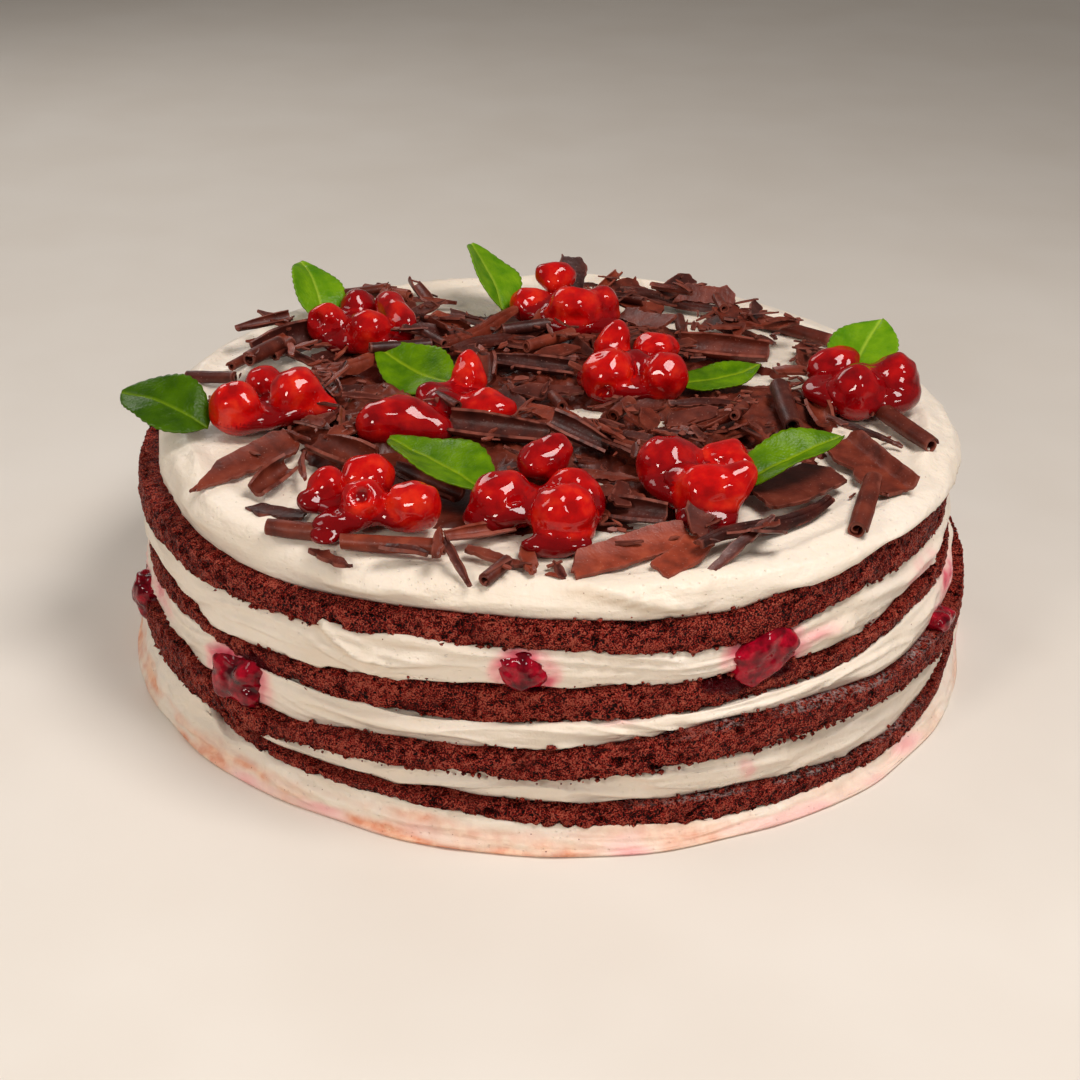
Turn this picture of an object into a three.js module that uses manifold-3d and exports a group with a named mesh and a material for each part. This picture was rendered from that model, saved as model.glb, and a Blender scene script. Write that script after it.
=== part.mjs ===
// Black forest layer cake, whole and uncut, with bare sides.
//
// Four chocolate sponges are stacked with whipped cream between them, over them and round the foot.
// Cherry filling shows at the side in the cream. On top lie chocolate shavings, nine clusters of
// cherries and eight small leaves.
//
// Millimetres, +Z up. The origin is the centre of the flat underside. Azimuths are in degrees,
// counter-clockwise seen from above, with 0 along +X; the front of the cake is at 270.

import * as THREE from 'three';
import { mergeVertices } from 'three/addons/utils/BufferGeometryUtils.js';
import Module from 'manifold-3d';

const wasm = await Module();
wasm.setup();

// ---------------------------------------------------------------- driving dimensions

const GAP = 0.3; // air left between neighbouring solids
const SEGMENTS = 48; // steps round the cake
const STATION_STEP = 30; // degrees between the heights that a layer's edges are given at

// Sponges from the bottom up. `radius` is the disc's, `shift` moves the disc along +X, `top` and
// `bottom` are the heights of its edges every 30 degrees from azimuth 0, `middle` the heights of
// both faces at the centre of the cake.
const SPONGES = [
  {
    name: 'sponge_4', radius: 116, shift: 0.6, middle: [6, 12.5],
    bottom: [8, 6.5, 5.5, 6, 6, 5.5, 5, 6.2, 9.1, 6.4, 3.8, 3.4],
    top: [13.5, 12.5, 12, 12.5, 12.5, 11.5, 10.4, 11, 12.6, 11.9, 11, 8.9],
  },
  {
    name: 'sponge_3', radius: 117, shift: 0.8, middle: [18.5, 27.5],
    bottom: [20, 19, 18.5, 19, 17.5, 14, 11.8, 12.6, 17.9, 19.6, 22.5, 21.6],
    top: [31, 30, 29, 28, 26.5, 24, 21.5, 22.4, 23.6, 27.4, 31.4, 28.4],
  },
  {
    name: 'sponge_2', radius: 113.2, shift: -0.8, middle: [34.5, 42.5],
    bottom: [36.5, 36, 35.5, 34.5, 33, 31.5, 30.5, 32.8, 32.4, 33.8, 35.2, 38.2],
    top: [41, 42, 43, 43.5, 42, 39, 36.5, 37.8, 39.4, 43.2, 42.2, 43.6],
  },
  {
    name: 'sponge_1', radius: 113, shift: -2, middle: [52, 61.5],
    bottom: [47.5, 48.5, 50, 50.5, 49.5, 47, 45.5, 48.4, 51.4, 54, 51.4, 53.6],
    top: [58.5, 59.5, 61, 61.5, 61, 59.5, 58, 57.2, 58.2, 60.9, 61.2, 64],
  },
];

// Creams between the sponges, named by the sponge they lie on.
const CREAMS = [
  { name: 'cream_3', radius: 114.4, shift: 0.6 },
  { name: 'cream_2', radius: 114.2, shift: 0 },
  { name: 'cream_1', radius: 112.6, shift: -1.6 },
];

const TOP_CREAM = { radius: 110.8, shift: 1.6, height: 68.4 };
const FOOT_CREAM = { radius: 120.6, shift: 0.4, shoulder: 116 };

// On the left the second sponge from below lies straight on the lowest one, which is set back there
// and covered by the cream of the foot.
const SET_BACK = { azimuth: 172, halfWidth: 62, depth: 4.6 };

// Cherry filling that shows at the side: azimuth, radius and height of its middle, and its
// half-sizes along the wall, into the cake and up; `tilt` turns it in the wall, in degrees.
const FILLINGS = [
  {
    name: 'filling_left', azimuth: 193.5, radius: 112.8, height: 20,
    half: [7.4, 6, 6.4], tilt: 60,
  },
  {
    name: 'filling_front_left', azimuth: 225.8, radius: 110.8, height: 25.6,
    half: [10.2, 6.5, 7.6], tilt: 6,
  },
  {
    name: 'filling_front', azimuth: 267, radius: 108.8, height: 47.8,
    half: [6.6, 5.8, 5.3], tilt: -10,
  },
  {
    name: 'filling_front_right', azimuth: 298.3, radius: 108.6, height: 45.6,
    half: [9.4, 6, 6.8], tilt: 26,
  },
  {
    name: 'filling_right', azimuth: 335, radius: 114.2, height: 29.4,
    half: [5.4, 4.6, 3.2], tilt: -8,
  },
];

// Bed of fine shavings that the larger ones, the cherries and the leaves lie on, higher towards its
// middle by `crown`. Its edge reaches out further in places, each given as the middle azimuth, the
// half-width and the reach.
const BED = { radius: 91, inner: 46, thickness: 2.1, crown: 2.6, edge: 0.5, bank: 8 };
const BED_LUMPS = { height: 0.7, pitch: 0.21, twist: 7, turns: 11 };
const BED_REACHES = [
  [256, 26, 12.5],
  [292, 24, 10],
  [330, 24, 8],
  [352, 16, 8],
  [212, 24, 7],
  [176, 16, 8],
];

// Cherries: middle [x, y, z], full size [along, across, up] and the heading of the long side.
// `nub` is a drawn-out end and `pit` the hole left by the stone, each with its direction
// [azimuth, elevation] and its length.
const CHERRIES = [
  { name: 'cherry_a1', at: [-85.2, -26, 77.3], size: [14.6, 14, 14], heading: 0 },
  {
    name: 'cherry_a2', at: [-70.6, -17.2, 77.7], size: [14.2, 13.6, 14.4], heading: 20,
    nub: [-5, -12, 5],
  },
  { name: 'cherry_a3', at: [-80.2, -6, 75.8], size: [11.6, 11, 10], heading: 40 },
  {
    name: 'cherry_b1', at: [-66.9, 38.2, 76.9], size: [11.2, 10.8, 10.8], heading: 0,
    pit: [235, 25, 1.8],
  },
  { name: 'cherry_b2', at: [-54, 31.6, 77.3], size: [13.2, 12.4, 12.2], heading: 25 },
  { name: 'cherry_b3', at: [-47.6, 43, 78.4], size: [24, 9, 10.5], heading: -62 },
  { name: 'cherry_b4', at: [-59.4, 53.6, 76.4], size: [11.8, 11, 9], heading: 60 },
  { name: 'cherry_c1', at: [0.3, 72.2, 80.2], size: [13.4, 11, 9.4], heading: 25 },
  { name: 'cherry_c2', at: [-7.8, 60.2, 75.9], size: [12, 11.2, 9.8], heading: 20 },
  { name: 'cherry_c3', at: [5.8, 50, 78.3], size: [15.8, 15, 14.8], heading: -10 },
  { name: 'cherry_c4', at: [14, 54, 77.6], size: [11.4, 11, 13], heading: 50 },
  { name: 'cherry_d1', at: [-42.2, -30, 76.6], size: [22.5, 14, 11.4], heading: 20, nub: [-12, -8, 5] },
  { name: 'cherry_d2', at: [-23.4, -6, 77.6], size: [9.6, 9.6, 10.8], heading: 0, nub: [100, 74, 2.8] },
  { name: 'cherry_d3', at: [-17.2, -20, 76], size: [14.8, 12.6, 8.6], heading: -22, nub: [200, -10, 2] },
  { name: 'cherry_d4', at: [-31, -12, 75.4], size: [14.4, 10, 7.8], heading: 30 },
  { name: 'cherry_e1', at: [15.4, 1, 77.8], size: [15, 14.2, 13.8], heading: 15, pit: [262, -20, 1.2] },
  { name: 'cherry_e2', at: [29, 19.4, 77.7], size: [13.8, 12, 10.8], heading: 25 },
  { name: 'cherry_e3', at: [30.7, -0.7, 77.8], size: [13.2, 13.2, 14], heading: 0 },
  { name: 'cherry_e4', at: [16.2, 16.6, 78.4], size: [11, 10.4, 10.6], heading: 0, nub: [50, 62, 2.8] },
  { name: 'cherry_f1', at: [80.6, 13, 76.6], size: [16, 12.4, 11.4], heading: 10 },
  { name: 'cherry_f2', at: [83.4, -5.6, 77], size: [14.2, 13.4, 14], heading: -30 },
  { name: 'cherry_f3', at: [95.4, 1.2, 78], size: [13.8, 13.2, 14.8], heading: 0 },
  { name: 'cherry_g1', at: [-56.3, -73.4, 76.4], size: [9.4, 10, 11], heading: 70 },
  { name: 'cherry_g2', at: [-46.7, -66, 76.8], size: [14, 12, 10.2], heading: -15 },
  {
    name: 'cherry_g3', at: [-46.1, -81.4, 77.2], size: [10.8, 10.6, 11.4], heading: 0,
    pit: [262, 34, 2.4],
  },
  { name: 'cherry_g4', at: [-33.8, -81.8, 76.5], size: [13.6, 12.8, 12.2], heading: 10 },
  { name: 'cherry_h1', at: [-12.6, -76.4, 76.8], size: [17.2, 13.4, 12.2], heading: 35 },
  { name: 'cherry_h2', at: [-2.8, -58.8, 78], size: [12.4, 11, 9.2], heading: 25, nub: [30, 35, 2.5] },
  { name: 'cherry_h3', at: [4.6, -69.4, 76.2], size: [12, 11, 9.6], heading: -15, nub: [-50, -10, 2.5] },
  { name: 'cherry_h4', at: [2.6, -86.4, 76.9], size: [16.6, 15.2, 14.6], heading: 0 },
  { name: 'cherry_i1', at: [29.3, -56.2, 77.6], size: [17.6, 15.2, 13.8], heading: 25 },
  { name: 'cherry_i2', at: [44, -53, 76.8], size: [13.2, 12.6, 11.4], heading: -30, nub: [-60, 5, 3] },
  { name: 'cherry_i3', at: [39.6, -71.6, 77.3], size: [19, 14.6, 13.4], heading: -5, nub: [10, 20, 2.5] },
];

// Leaves: foot [x, y, z] and tip [x, y, z] of the midrib, the largest width, the roll of the blade
// about the midrib in degrees, how far the sides fold up from the midrib and how far it arches.
const LEAVES = [
  {
    name: 'leaf_1', foot: [-92.3, -30.2, 72.4], tip: [-116.7, -20.4, 78],
    width: 20.6, roll: -17, fold: 0.2, arch: 2.8,
  },
  {
    name: 'leaf_2', foot: [-69.1, 47.1, 72.6], tip: [-77.8, 66.7, 85.4],
    width: 16.9, roll: 15, fold: 0.16, arch: 3,
  },
  {
    name: 'leaf_3', foot: [-15.8, 60.9, 72.8], tip: [-26.6, 82.8, 86.6],
    width: 19.6, roll: 28, fold: 0.29, arch: 1.5,
  },
  {
    name: 'leaf_4', foot: [-28.6, 1.6, 73.8], tip: [-51.2, 18.5, 78],
    width: 18.6, roll: -23, fold: 0.16, arch: -3.2,
  },
  {
    name: 'leaf_5', foot: [-15.3, -72.5, 74.8], tip: [-42.6, -46.8, 78],
    width: 20.4, roll: 3, fold: 0.3, arch: 0.8,
  },
  {
    name: 'leaf_6', foot: [35.4, 6.2, 73], tip: [58.8, 14.2, 76.2],
    width: 15.1, roll: 4, fold: 0.1, arch: -1.4,
  },
  {
    name: 'leaf_7', foot: [47, -62.6, 73.6], tip: [75, -45.5, 81],
    width: 15.2, roll: 2, fold: 0.42, arch: 1.2,
  },
  {
    name: 'leaf_8', foot: [82.6, 6.4, 74.2], tip: [93.4, 22.6, 87.6],
    width: 21.4, roll: -1, fold: 0.04, arch: 1.4,
  },
];
const LEAF_THICKNESS = 0.8;
const LEAF_WAVE = { height: 0.6, turns: 9, lag: 2 }; // how the edge waves up and down
const LEAF_BREADTH = { least: 0.09, skew: 0.86, fullness: 0.72 }; // outline along the midrib
const LEAF_STEPS = 6; // stations along the midrib

const SHAVING_THICKNESS = 1.1;

// Chocolate shavings that can be told apart, in the order they fell: the kind, the middle x and y,
// the length, the width and the heading; `bank` tips the width and `stand` is a slope of the length
// beyond what the pieces below give it, both in degrees.
const SHAVINGS = [
  ['shard', -80, -50, 36, 10, 49, 20, 0],
  ['curl', -71, -59, 15, 6, 62, 0, 0],
  ['strip', -64, -52.5, 20, 2.2, -84, 60, 0],
  ['shard', -69, -73, 16, 6, -23, 8, 0],
  ['tube', -63, -85, 14, 4.6, -16, 0, 0],
  ['tube', -39, -93.6, 25, 4.4, -7, 0, 0],
  ['shard', -53, -96.5, 14, 4.6, -41, 0, 0],
  ['strip', -35, -98.5, 11, 3.4, -3, 0, 0],
  ['curl', -17.5, -87.5, 18, 3.6, 28, 0, 0],
  ['strip', -13.5, -97, 15, 2.8, -23, 20, 0],
  ['strip', -22.5, -102.6, 15, 2, -62, 30, 0],
  ['strip', -27, -99, 11, 2.6, 88, 0, 0],
  ['strip', -5.4, -99, 12, 4, -82, 0, 0],
  ['shard', 18.5, -93, 34, 9, 33, 24, 0],
  ['shard', 31.5, -94, 18, 9, 52, 6, 0],
  ['curl', 20.4, -76.6, 15, 6.5, -9, 10, 0],
  ['strip', 14, -57, 18, 2.6, -11, 50, 0],
  ['shard', 16.5, -65.6, 15, 5, -31, 20, 0],
  ['curl', -15, -34.4, 27, 8, -12, 0, 0],
  ['curl', 6.5, -39, 17, 6, -20, 0, 0],
  ['shard', 3, -22, 26, 6, -34, 16, 0],
  ['shard', -2, -4, 20, 9, 22, 22, 0],
  ['tube', 1, -13.6, 12, 3, -77, 0, 0],
  ['shard', 25.4, -24.5, 14, 7, 81, 30, 0],
  ['shard', 37, -21, 15, 8, 16, 20, 0],
  ['roll', 53, -79, 47, 4.4, 44, 0, 0],
  ['strip', 46, -90.5, 24, 3, 47, 20, 0],
  ['shard', 62.5, -57.6, 27, 14, 43, 5, 0],
  ['plate', 82, -42.5, 31, 13, -65, 0, 0],
  ['tube', 78.5, -67.5, 24, 5.6, -107, 0, 0],
  ['tube', 95, -17, 27, 5, -61, 0, 0],
  ['tube', 63.6, -12, 27, 5.6, -87, 0, 0],
  ['curl', 73, -11, 14, 6, -84, 0, 0],
  ['roll', 38, 77, 34, 4, -20, 0, 0],
  ['shard', 47, 75, 18, 8, -6, 50, 0],
  ['tube', 70, 58, 32, 4.4, -36, 0, 0],
  ['curl', 49, 27, 26, 8.5, -9, 0, 0],
  ['tube', 38, 50, 15, 3.2, -88, 0, 0],
  ['strip', 41, -12.5, 22, 2.6, 29, 40, 0],
  ['strip', 84, -22.6, 22, 2, -24, 40, 0],
  ['tube', -88, 25.4, 24, 2.8, 69, 0, 0],
  ['tube', -97.4, 9, 16, 3.4, -25, 0, 0],
  ['curl', -77, 27.6, 22, 10, 47, 0, 0],
  ['strip', -72.5, 16, 24, 2.2, -32, 50, 0],
  ['roll', -57.6, 12, 24, 5.4, 38, 0, 0],
  ['strip', -58, -22.4, 20, 3, 23, 40, 0],
  ['curl', -55, -47.6, 19, 8, -31, 0, 0],
  ['curl', -31.5, -60, 25, 7, -43, 0, 0],
  ['roll', -23.6, 39.4, 38, 5, 48, 0, 0],
  ['roll', -15, 34.4, 38, 4.6, 46, 0, 0],
  ['tube', -7, 19.4, 26, 2.4, 7, 0, 0],
  ['curl', -5.6, 12.4, 23, 5.6, -8, 0, 0],
  ['curl', -19.4, 7.6, 12, 6, -85, 0, 0],
  ['shard', -33, 48, 16, 11, -11, 12, 0],
  ['strip', -39.5, 72, 18, 2.6, -2, 0, 0],
  ['shard', 5, 80.5, 14, 9, 74, 18, 58],
  ['shard', 27, 52, 20, 9, -47, 26, 0],
  ['shard', 62, 36, 16, 8, 52, 12, 0],
  ['strip', 70, 20, 13, 3.6, 12, 20, 0],
  ['tube', -44, 20, 18, 3.2, 20, 0, 0],
];

const COLOURS = {
  sponge: 0x4a1c18,
  cream: 0xece2cf,
  cherry: 0xb5120f,
  filling: 0x6e0716,
  leaf: 0x4f8a1c,
  chocolate: 0x4a2620,
};

// ---------------------------------------------------------------- numbers and meshes

const RAD = Math.PI / 180;

// Smooth closed curve through values that are evenly spaced round the cake.
function ringCurve(values) {
  const count = values.length;
  return (azimuth) => {
    const place = (((azimuth % 360) + 360) % 360) / STATION_STEP;
    const index = Math.floor(place) % count;
    const t = place - Math.floor(place);
    const [a, b, c, d] = [-1, 0, 1, 2].map((step) => values[(index + step + count) % count]);
    const slopeB = (c - a) / 2;
    const slopeC = (d - b) / 2;
    const t2 = t * t;
    const t3 = t2 * t;
    return (2 * t3 - 3 * t2 + 1) * b + (t3 - 2 * t2 + t) * slopeB
      + (-2 * t3 + 3 * t2) * c + (t3 - t2) * slopeC;
  };
}

const RANGE_SLOPE = 0.35; // share of a range of azimuths over which its weight rises

// 1 at the middle of a range of azimuths, smoothly down to 0 at its ends.
function rangeWeight(azimuth, middle, halfWidth) {
  const away = Math.abs(((azimuth - middle + 540) % 360) - 180) / halfWidth;
  return away >= 1 ? 0 : THREE.MathUtils.smoothstep(1 - away, 0, RANGE_SLOPE);
}

// Waves that make a rim uneven: how many go round, their share of the size and their lag.
const RIM_WAVES = [[3, 1, 1], [7, 0.6, 2.1], [13, 0.45, 3.7], [23, 0.3, 5.3]];

// Small unevenness of a rim, the same on every run.
function waver(azimuth, phase, size) {
  const a = azimuth * RAD;
  return size * RIM_WAVES.reduce((sum, [turns, share, lag]) => (
    sum + share * Math.sin(turns * a + lag * phase)), 0);
}

function discRadius({ radius, shift }, azimuth) {
  return radius + shift * Math.cos(azimuth * RAD);
}

function setBack(azimuth) {
  return SET_BACK.depth * rangeWeight(azimuth, SET_BACK.azimuth, SET_BACK.halfWidth);
}

function azimuths() {
  return Array.from({ length: SEGMENTS }, (_, step) => (step * 360) / SEGMENTS);
}

function makeGeometry(points, triangles) {
  const geometry = new THREE.BufferGeometry();
  geometry.setAttribute('position', new THREE.Float32BufferAttribute(points.flat(), 3));
  geometry.setIndex(triangles.flat());
  return geometry;
}

// Closed body from rings of points, given from the lower face round the wall to the upper face,
// and the two middle points that close it.
function ringBody(rings, lowerMiddle, upperMiddle) {
  const count = rings[0].length;
  const points = [...rings.flat(), lowerMiddle, upperMiddle];
  const lower = rings.length * count;
  const upper = lower + 1;
  const last = (rings.length - 1) * count;
  const triangles = [];
  for (let step = 0; step < count; step += 1) {
    const next = (step + 1) % count;
    triangles.push([lower, next, step]);
    triangles.push([upper, last + step, last + next]);
    for (let ring = 0; ring < rings.length - 1; ring += 1) {
      const [a, b] = [ring * count + step, ring * count + next];
      triangles.push([a, b, b + count], [a, b + count, a + count]);
    }
  }
  return makeGeometry(points, triangles);
}

function polar(azimuth, radius, height) {
  return [radius * Math.cos(azimuth * RAD), radius * Math.sin(azimuth * RAD), height];
}

function toManifold(geometry) {
  const plain = geometry.clone();
  plain.deleteAttribute('normal');
  plain.deleteAttribute('uv');
  const merged = mergeVertices(plain, 1e-4);
  return new wasm.Manifold(new wasm.Mesh({
    numProp: 3,
    vertProperties: new Float32Array(merged.attributes.position.array),
    triVerts: new Uint32Array(merged.index.array),
  }));
}

function fromManifold(solid) {
  const mesh = solid.getMesh();
  const geometry = new THREE.BufferGeometry();
  geometry.setAttribute('position', new THREE.BufferAttribute(new Float32Array(mesh.vertProperties), 3));
  geometry.setIndex(new THREE.BufferAttribute(new Uint32Array(mesh.triVerts), 1));
  return geometry;
}

// The largest of the pieces that a cut may leave.
function mainPiece(solid) {
  return solid.decompose().reduce((best, piece) => (piece.volume() > best.volume() ? piece : best));
}

// ---------------------------------------------------------------- faces between the layers

// Every face between two layers is straight along each radius, from the middle of the cake to the
// edge height at this radius, so that a sponge and the cream on it share it whatever their radii.
const EDGE_RADIUS = 115;

function layerFace(middle, values) {
  const edge = ringCurve(values);
  return (azimuth, radius) => middle + ((edge(azimuth) - middle) * radius) / EDGE_RADIUS;
}

const sponges = SPONGES.map((sponge) => ({
  ...sponge,
  lower: layerFace(sponge.middle[0], sponge.bottom),
  upper: layerFace(sponge.middle[1], sponge.top),
}));

// ---------------------------------------------------------------- sponges and creams

// A sponge's cut wall is upright, with worn edges; cream between two sponges bulges a little.
const SPONGE_WALL = [[-0.5, 0], [0.15, 0.45], [-0.5, 1]];
const CREAM_WALL = [[-0.5, 0], [0.6, 0.5], [-0.4, 1]];

function discBody(radiusAt, lower, upper, wall, lift) {
  const rings = wall.map(([out, up]) => azimuths().map((azimuth) => {
    const radius = radiusAt(azimuth) + out;
    const low = lower(azimuth, radius) + lift;
    const high = upper(azimuth, radius) - lift;
    return polar(azimuth, radius, low + (high - low) * up);
  }));
  return ringBody(rings, [0, 0, lower(0, 0) + lift], [0, 0, upper(0, 0) - lift]);
}

function spongeRadius(sponge, index, azimuth) {
  const back = index === 0 ? setBack(azimuth) : 0;
  return discRadius(sponge, azimuth) + waver(azimuth, index + 1, 0.28) - back;
}

function spongeBody(sponge, index) {
  const radiusAt = (azimuth) => spongeRadius(sponge, index, azimuth);
  return discBody(radiusAt, sponge.lower, sponge.upper, SPONGE_WALL, 0);
}

function creamBody(cream, index) {
  const radiusAt = (azimuth) => discRadius(cream, azimuth) + waver(azimuth, index + 5, 0.34)
    - (index === 0 ? setBack(azimuth) : 0);
  return discBody(radiusAt, sponges[index].upper, sponges[index + 1].lower, CREAM_WALL, GAP);
}

// Low rings left by the spatula near the rim: the radii they fade in between, their height, their
// turns for each millimetre outwards and how far they wander.
const TOP_MARKS = { from: 84, full: 100, height: 0.45, pitch: 0.62, wander: 1.3 };

function topHeight(azimuth, radius) {
  const rimward = THREE.MathUtils.smoothstep(radius, TOP_MARKS.from, TOP_MARKS.full);
  const wander = TOP_MARKS.wander * Math.sin(2 * azimuth * RAD);
  return TOP_CREAM.height + TOP_MARKS.height * rimward * Math.sin(radius * TOP_MARKS.pitch + wander);
}

function topRadius(azimuth) {
  return discRadius(TOP_CREAM, azimuth) + waver(azimuth, 9, 0.42);
}

// The rim as [inset from the outline, part of the way up from the sponge to the top].
const TOP_RIM = [[0.5, 0], [-0.5, 0.25], [0.2, 0.6], [2.4, 0.88], [8, 1]];
const TOP_RINGS = [90, BED.inner];

function topCreamBody() {
  const lower = (azimuth, radius) => sponges[3].upper(azimuth, radius) + GAP;
  const rim = TOP_RIM.map(([inset, up]) => azimuths().map((azimuth) => {
    const radius = topRadius(azimuth) - inset;
    const low = lower(azimuth, radius);
    return polar(azimuth, radius, low + (topHeight(azimuth, radius) - low) * up);
  }));
  const level = TOP_RINGS.map((radius) => azimuths()
    .map((azimuth) => polar(azimuth, radius, topHeight(azimuth, radius))));
  return ringBody([...rim, ...level], [0, 0, lower(0, 0)], [0, 0, TOP_CREAM.height]);
}

// Cream under the lowest sponge and spread out round its foot, by its rounded `edge` and the hollow
// of its slope. Where that sponge is set back far enough, a lip of cream rises in front of it as far
// as the next sponge.
const FOOT_EDGE = { inset: 0.5, height: 1.1 };
const FOOT_SLOPE = { inward: 0.45, share: 0.62, lift: 0.6 };
const LIP = { thinnest: 0.6, clear: 0.55, from: 0.45, full: 0.9, step: 0.15 };

function footCreamBody() {
  const under = (azimuth, radius) => sponges[0].lower(azimuth, radius) - GAP;
  const rings = [[], [], [], [], [], []];
  azimuths().forEach((azimuth) => {
    const foot = discRadius(FOOT_CREAM, azimuth) + waver(azimuth, 12, 0.62);
    const shoulder = FOOT_CREAM.shoulder + sponges[0].shift * Math.cos(azimuth * RAD);
    const inner = Math.min(shoulder - LIP.thinnest, spongeRadius(sponges[0], 0, azimuth) + LIP.clear);
    const rise = THREE.MathUtils.smoothstep(setBack(azimuth) / SET_BACK.depth, LIP.from, LIP.full);
    const level = under(azimuth, shoulder);
    const top = THREE.MathUtils.lerp(level, sponges[1].lower(azimuth, shoulder) - GAP, rise);
    const slope = THREE.MathUtils.lerp(foot, shoulder, FOOT_SLOPE.inward);
    rings[0].push(polar(azimuth, foot - FOOT_EDGE.inset, 0));
    rings[1].push(polar(azimuth, foot, FOOT_EDGE.height));
    rings[2].push(polar(azimuth, slope, FOOT_SLOPE.share * top + FOOT_SLOPE.lift));
    rings[3].push(polar(azimuth, shoulder, top));
    rings[4].push(polar(azimuth, inner, THREE.MathUtils.lerp(under(azimuth, inner), top, rise)));
    rings[5].push(polar(azimuth, inner - LIP.step, under(azimuth, inner - LIP.step)));
  });
  return ringBody(rings, [0, 0, 0], [0, 0, under(0, 0)]);
}

// ---------------------------------------------------------------- fillings and cherries

// Turned and stretched ball, pulled about by a function of its direction.
function lumpBody({ half, columns, rows, turn, at, swell }) {
  const geometry = new THREE.SphereGeometry(1, columns, rows);
  const position = geometry.attributes.position;
  const size = new THREE.Vector3(...half);
  const point = new THREE.Vector3();
  for (let index = 0; index < position.count; index += 1) {
    point.fromBufferAttribute(position, index);
    const direction = point.clone();
    point.multiply(size).applyEuler(turn);
    const moved = swell ? swell(direction.multiply(size).normalize().applyEuler(turn), point) : point;
    position.setXYZ(index, moved.x + at[0], moved.y + at[1], moved.z + at[2]);
  }
  return geometry;
}

function fillingBody(filling, grow) {
  const heading = (filling.azimuth + 90) * RAD;
  return lumpBody({
    half: filling.half.map((value) => value + grow),
    columns: 8,
    rows: 6,
    turn: new THREE.Euler(0, -filling.tilt * RAD, heading, 'ZYX'),
    at: polar(filling.azimuth, filling.radius, filling.height),
  });
}

function directionOf([azimuth, elevation]) {
  const level = Math.cos(elevation * RAD);
  return new THREE.Vector3(
    level * Math.cos(azimuth * RAD),
    level * Math.sin(azimuth * RAD),
    Math.sin(elevation * RAD),
  );
}

const NUB_SHARPNESS = 8;
const PIT_SHARPNESS = 10;

function cherryBody(cherry, grow) {
  const nub = cherry.nub ? directionOf(cherry.nub) : null;
  const pit = cherry.pit ? directionOf(cherry.pit) : null;
  return lumpBody({
    half: cherry.size.map((value) => value / 2 + grow),
    columns: 8,
    rows: 6,
    turn: new THREE.Euler(0, 0, cherry.heading * RAD),
    at: cherry.at,
    swell: (direction, point) => {
      if (nub) {
        const pull = Math.max(0, direction.dot(nub)) ** NUB_SHARPNESS;
        point.addScaledVector(nub, cherry.nub[2] * pull);
      }
      if (pit) {
        const push = Math.max(0, direction.dot(pit)) ** PIT_SHARPNESS;
        point.addScaledVector(pit, -cherry.pit[2] * push);
      }
      return point;
    },
  });
}

// ---------------------------------------------------------------- leaves

// Pointed oval blade: both faces carry the same net of points, set apart by the thickness.
function leafBody(leaf, grow) {
  const foot = new THREE.Vector3(...leaf.foot);
  const tip = new THREE.Vector3(...leaf.tip);
  const along = tip.clone().sub(foot);
  const length = along.length();
  along.normalize();
  const level = new THREE.Vector3(-along.y, along.x, 0).normalize();
  const across = level.applyAxisAngle(along, leaf.roll * RAD);
  const normal = along.clone().cross(across).normalize();
  const columns = [-1, 0, 1];
  const faces = [-1, 1].map((side) => {
    const net = [];
    for (let step = 0; step <= LEAF_STEPS; step += 1) {
      const t = step / LEAF_STEPS;
      const { least, skew, fullness } = LEAF_BREADTH;
      const breadth = Math.max(least, Math.sin(Math.PI * t ** skew) ** fullness);
      columns.forEach((column) => {
        const out = (column * leaf.width * breadth) / 2;
        const turn = LEAF_WAVE.turns * t + LEAF_WAVE.lag * column;
        const wave = LEAF_WAVE.height * Math.sin(turn) * Math.abs(column);
        const height = leaf.arch * Math.sin(Math.PI * t) + leaf.fold * Math.abs(out) + wave
          + side * (LEAF_THICKNESS / 2 + grow);
        net.push(foot.clone().addScaledVector(along, t * length)
          .addScaledVector(across, out).addScaledVector(normal, height).toArray());
      });
    }
    return net;
  });
  const width = columns.length;
  const half = (LEAF_STEPS + 1) * width;
  const triangles = [];
  for (let step = 0; step < LEAF_STEPS; step += 1) {
    for (let column = 0; column < width - 1; column += 1) {
      const a = step * width + column;
      const quad = [a, a + 1, a + width + 1, a + width];
      triangles.push([quad[0], quad[1], quad[2]], [quad[0], quad[2], quad[3]]);
      triangles.push([quad[0] + half, quad[2] + half, quad[1] + half]);
      triangles.push([quad[0] + half, quad[3] + half, quad[2] + half]);
    }
    const left = step * width;
    const right = left + width - 1;
    triangles.push([left, left + width, left + width + half], [left, left + width + half, left + half]);
    triangles.push([right, right + half, right + width + half]);
    triangles.push([right, right + width + half, right + width]);
  }
  const last = LEAF_STEPS * width;
  for (let column = 0; column < width - 1; column += 1) {
    const [a, b] = [column, column + 1];
    triangles.push([a, a + half, b + half], [a, b + half, b]);
    triangles.push([last + a, last + b, last + b + half], [last + a, last + b + half, last + a + half]);
  }
  return makeGeometry(faces.flat(), triangles);
}

// ---------------------------------------------------------------- chocolate shavings

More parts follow.
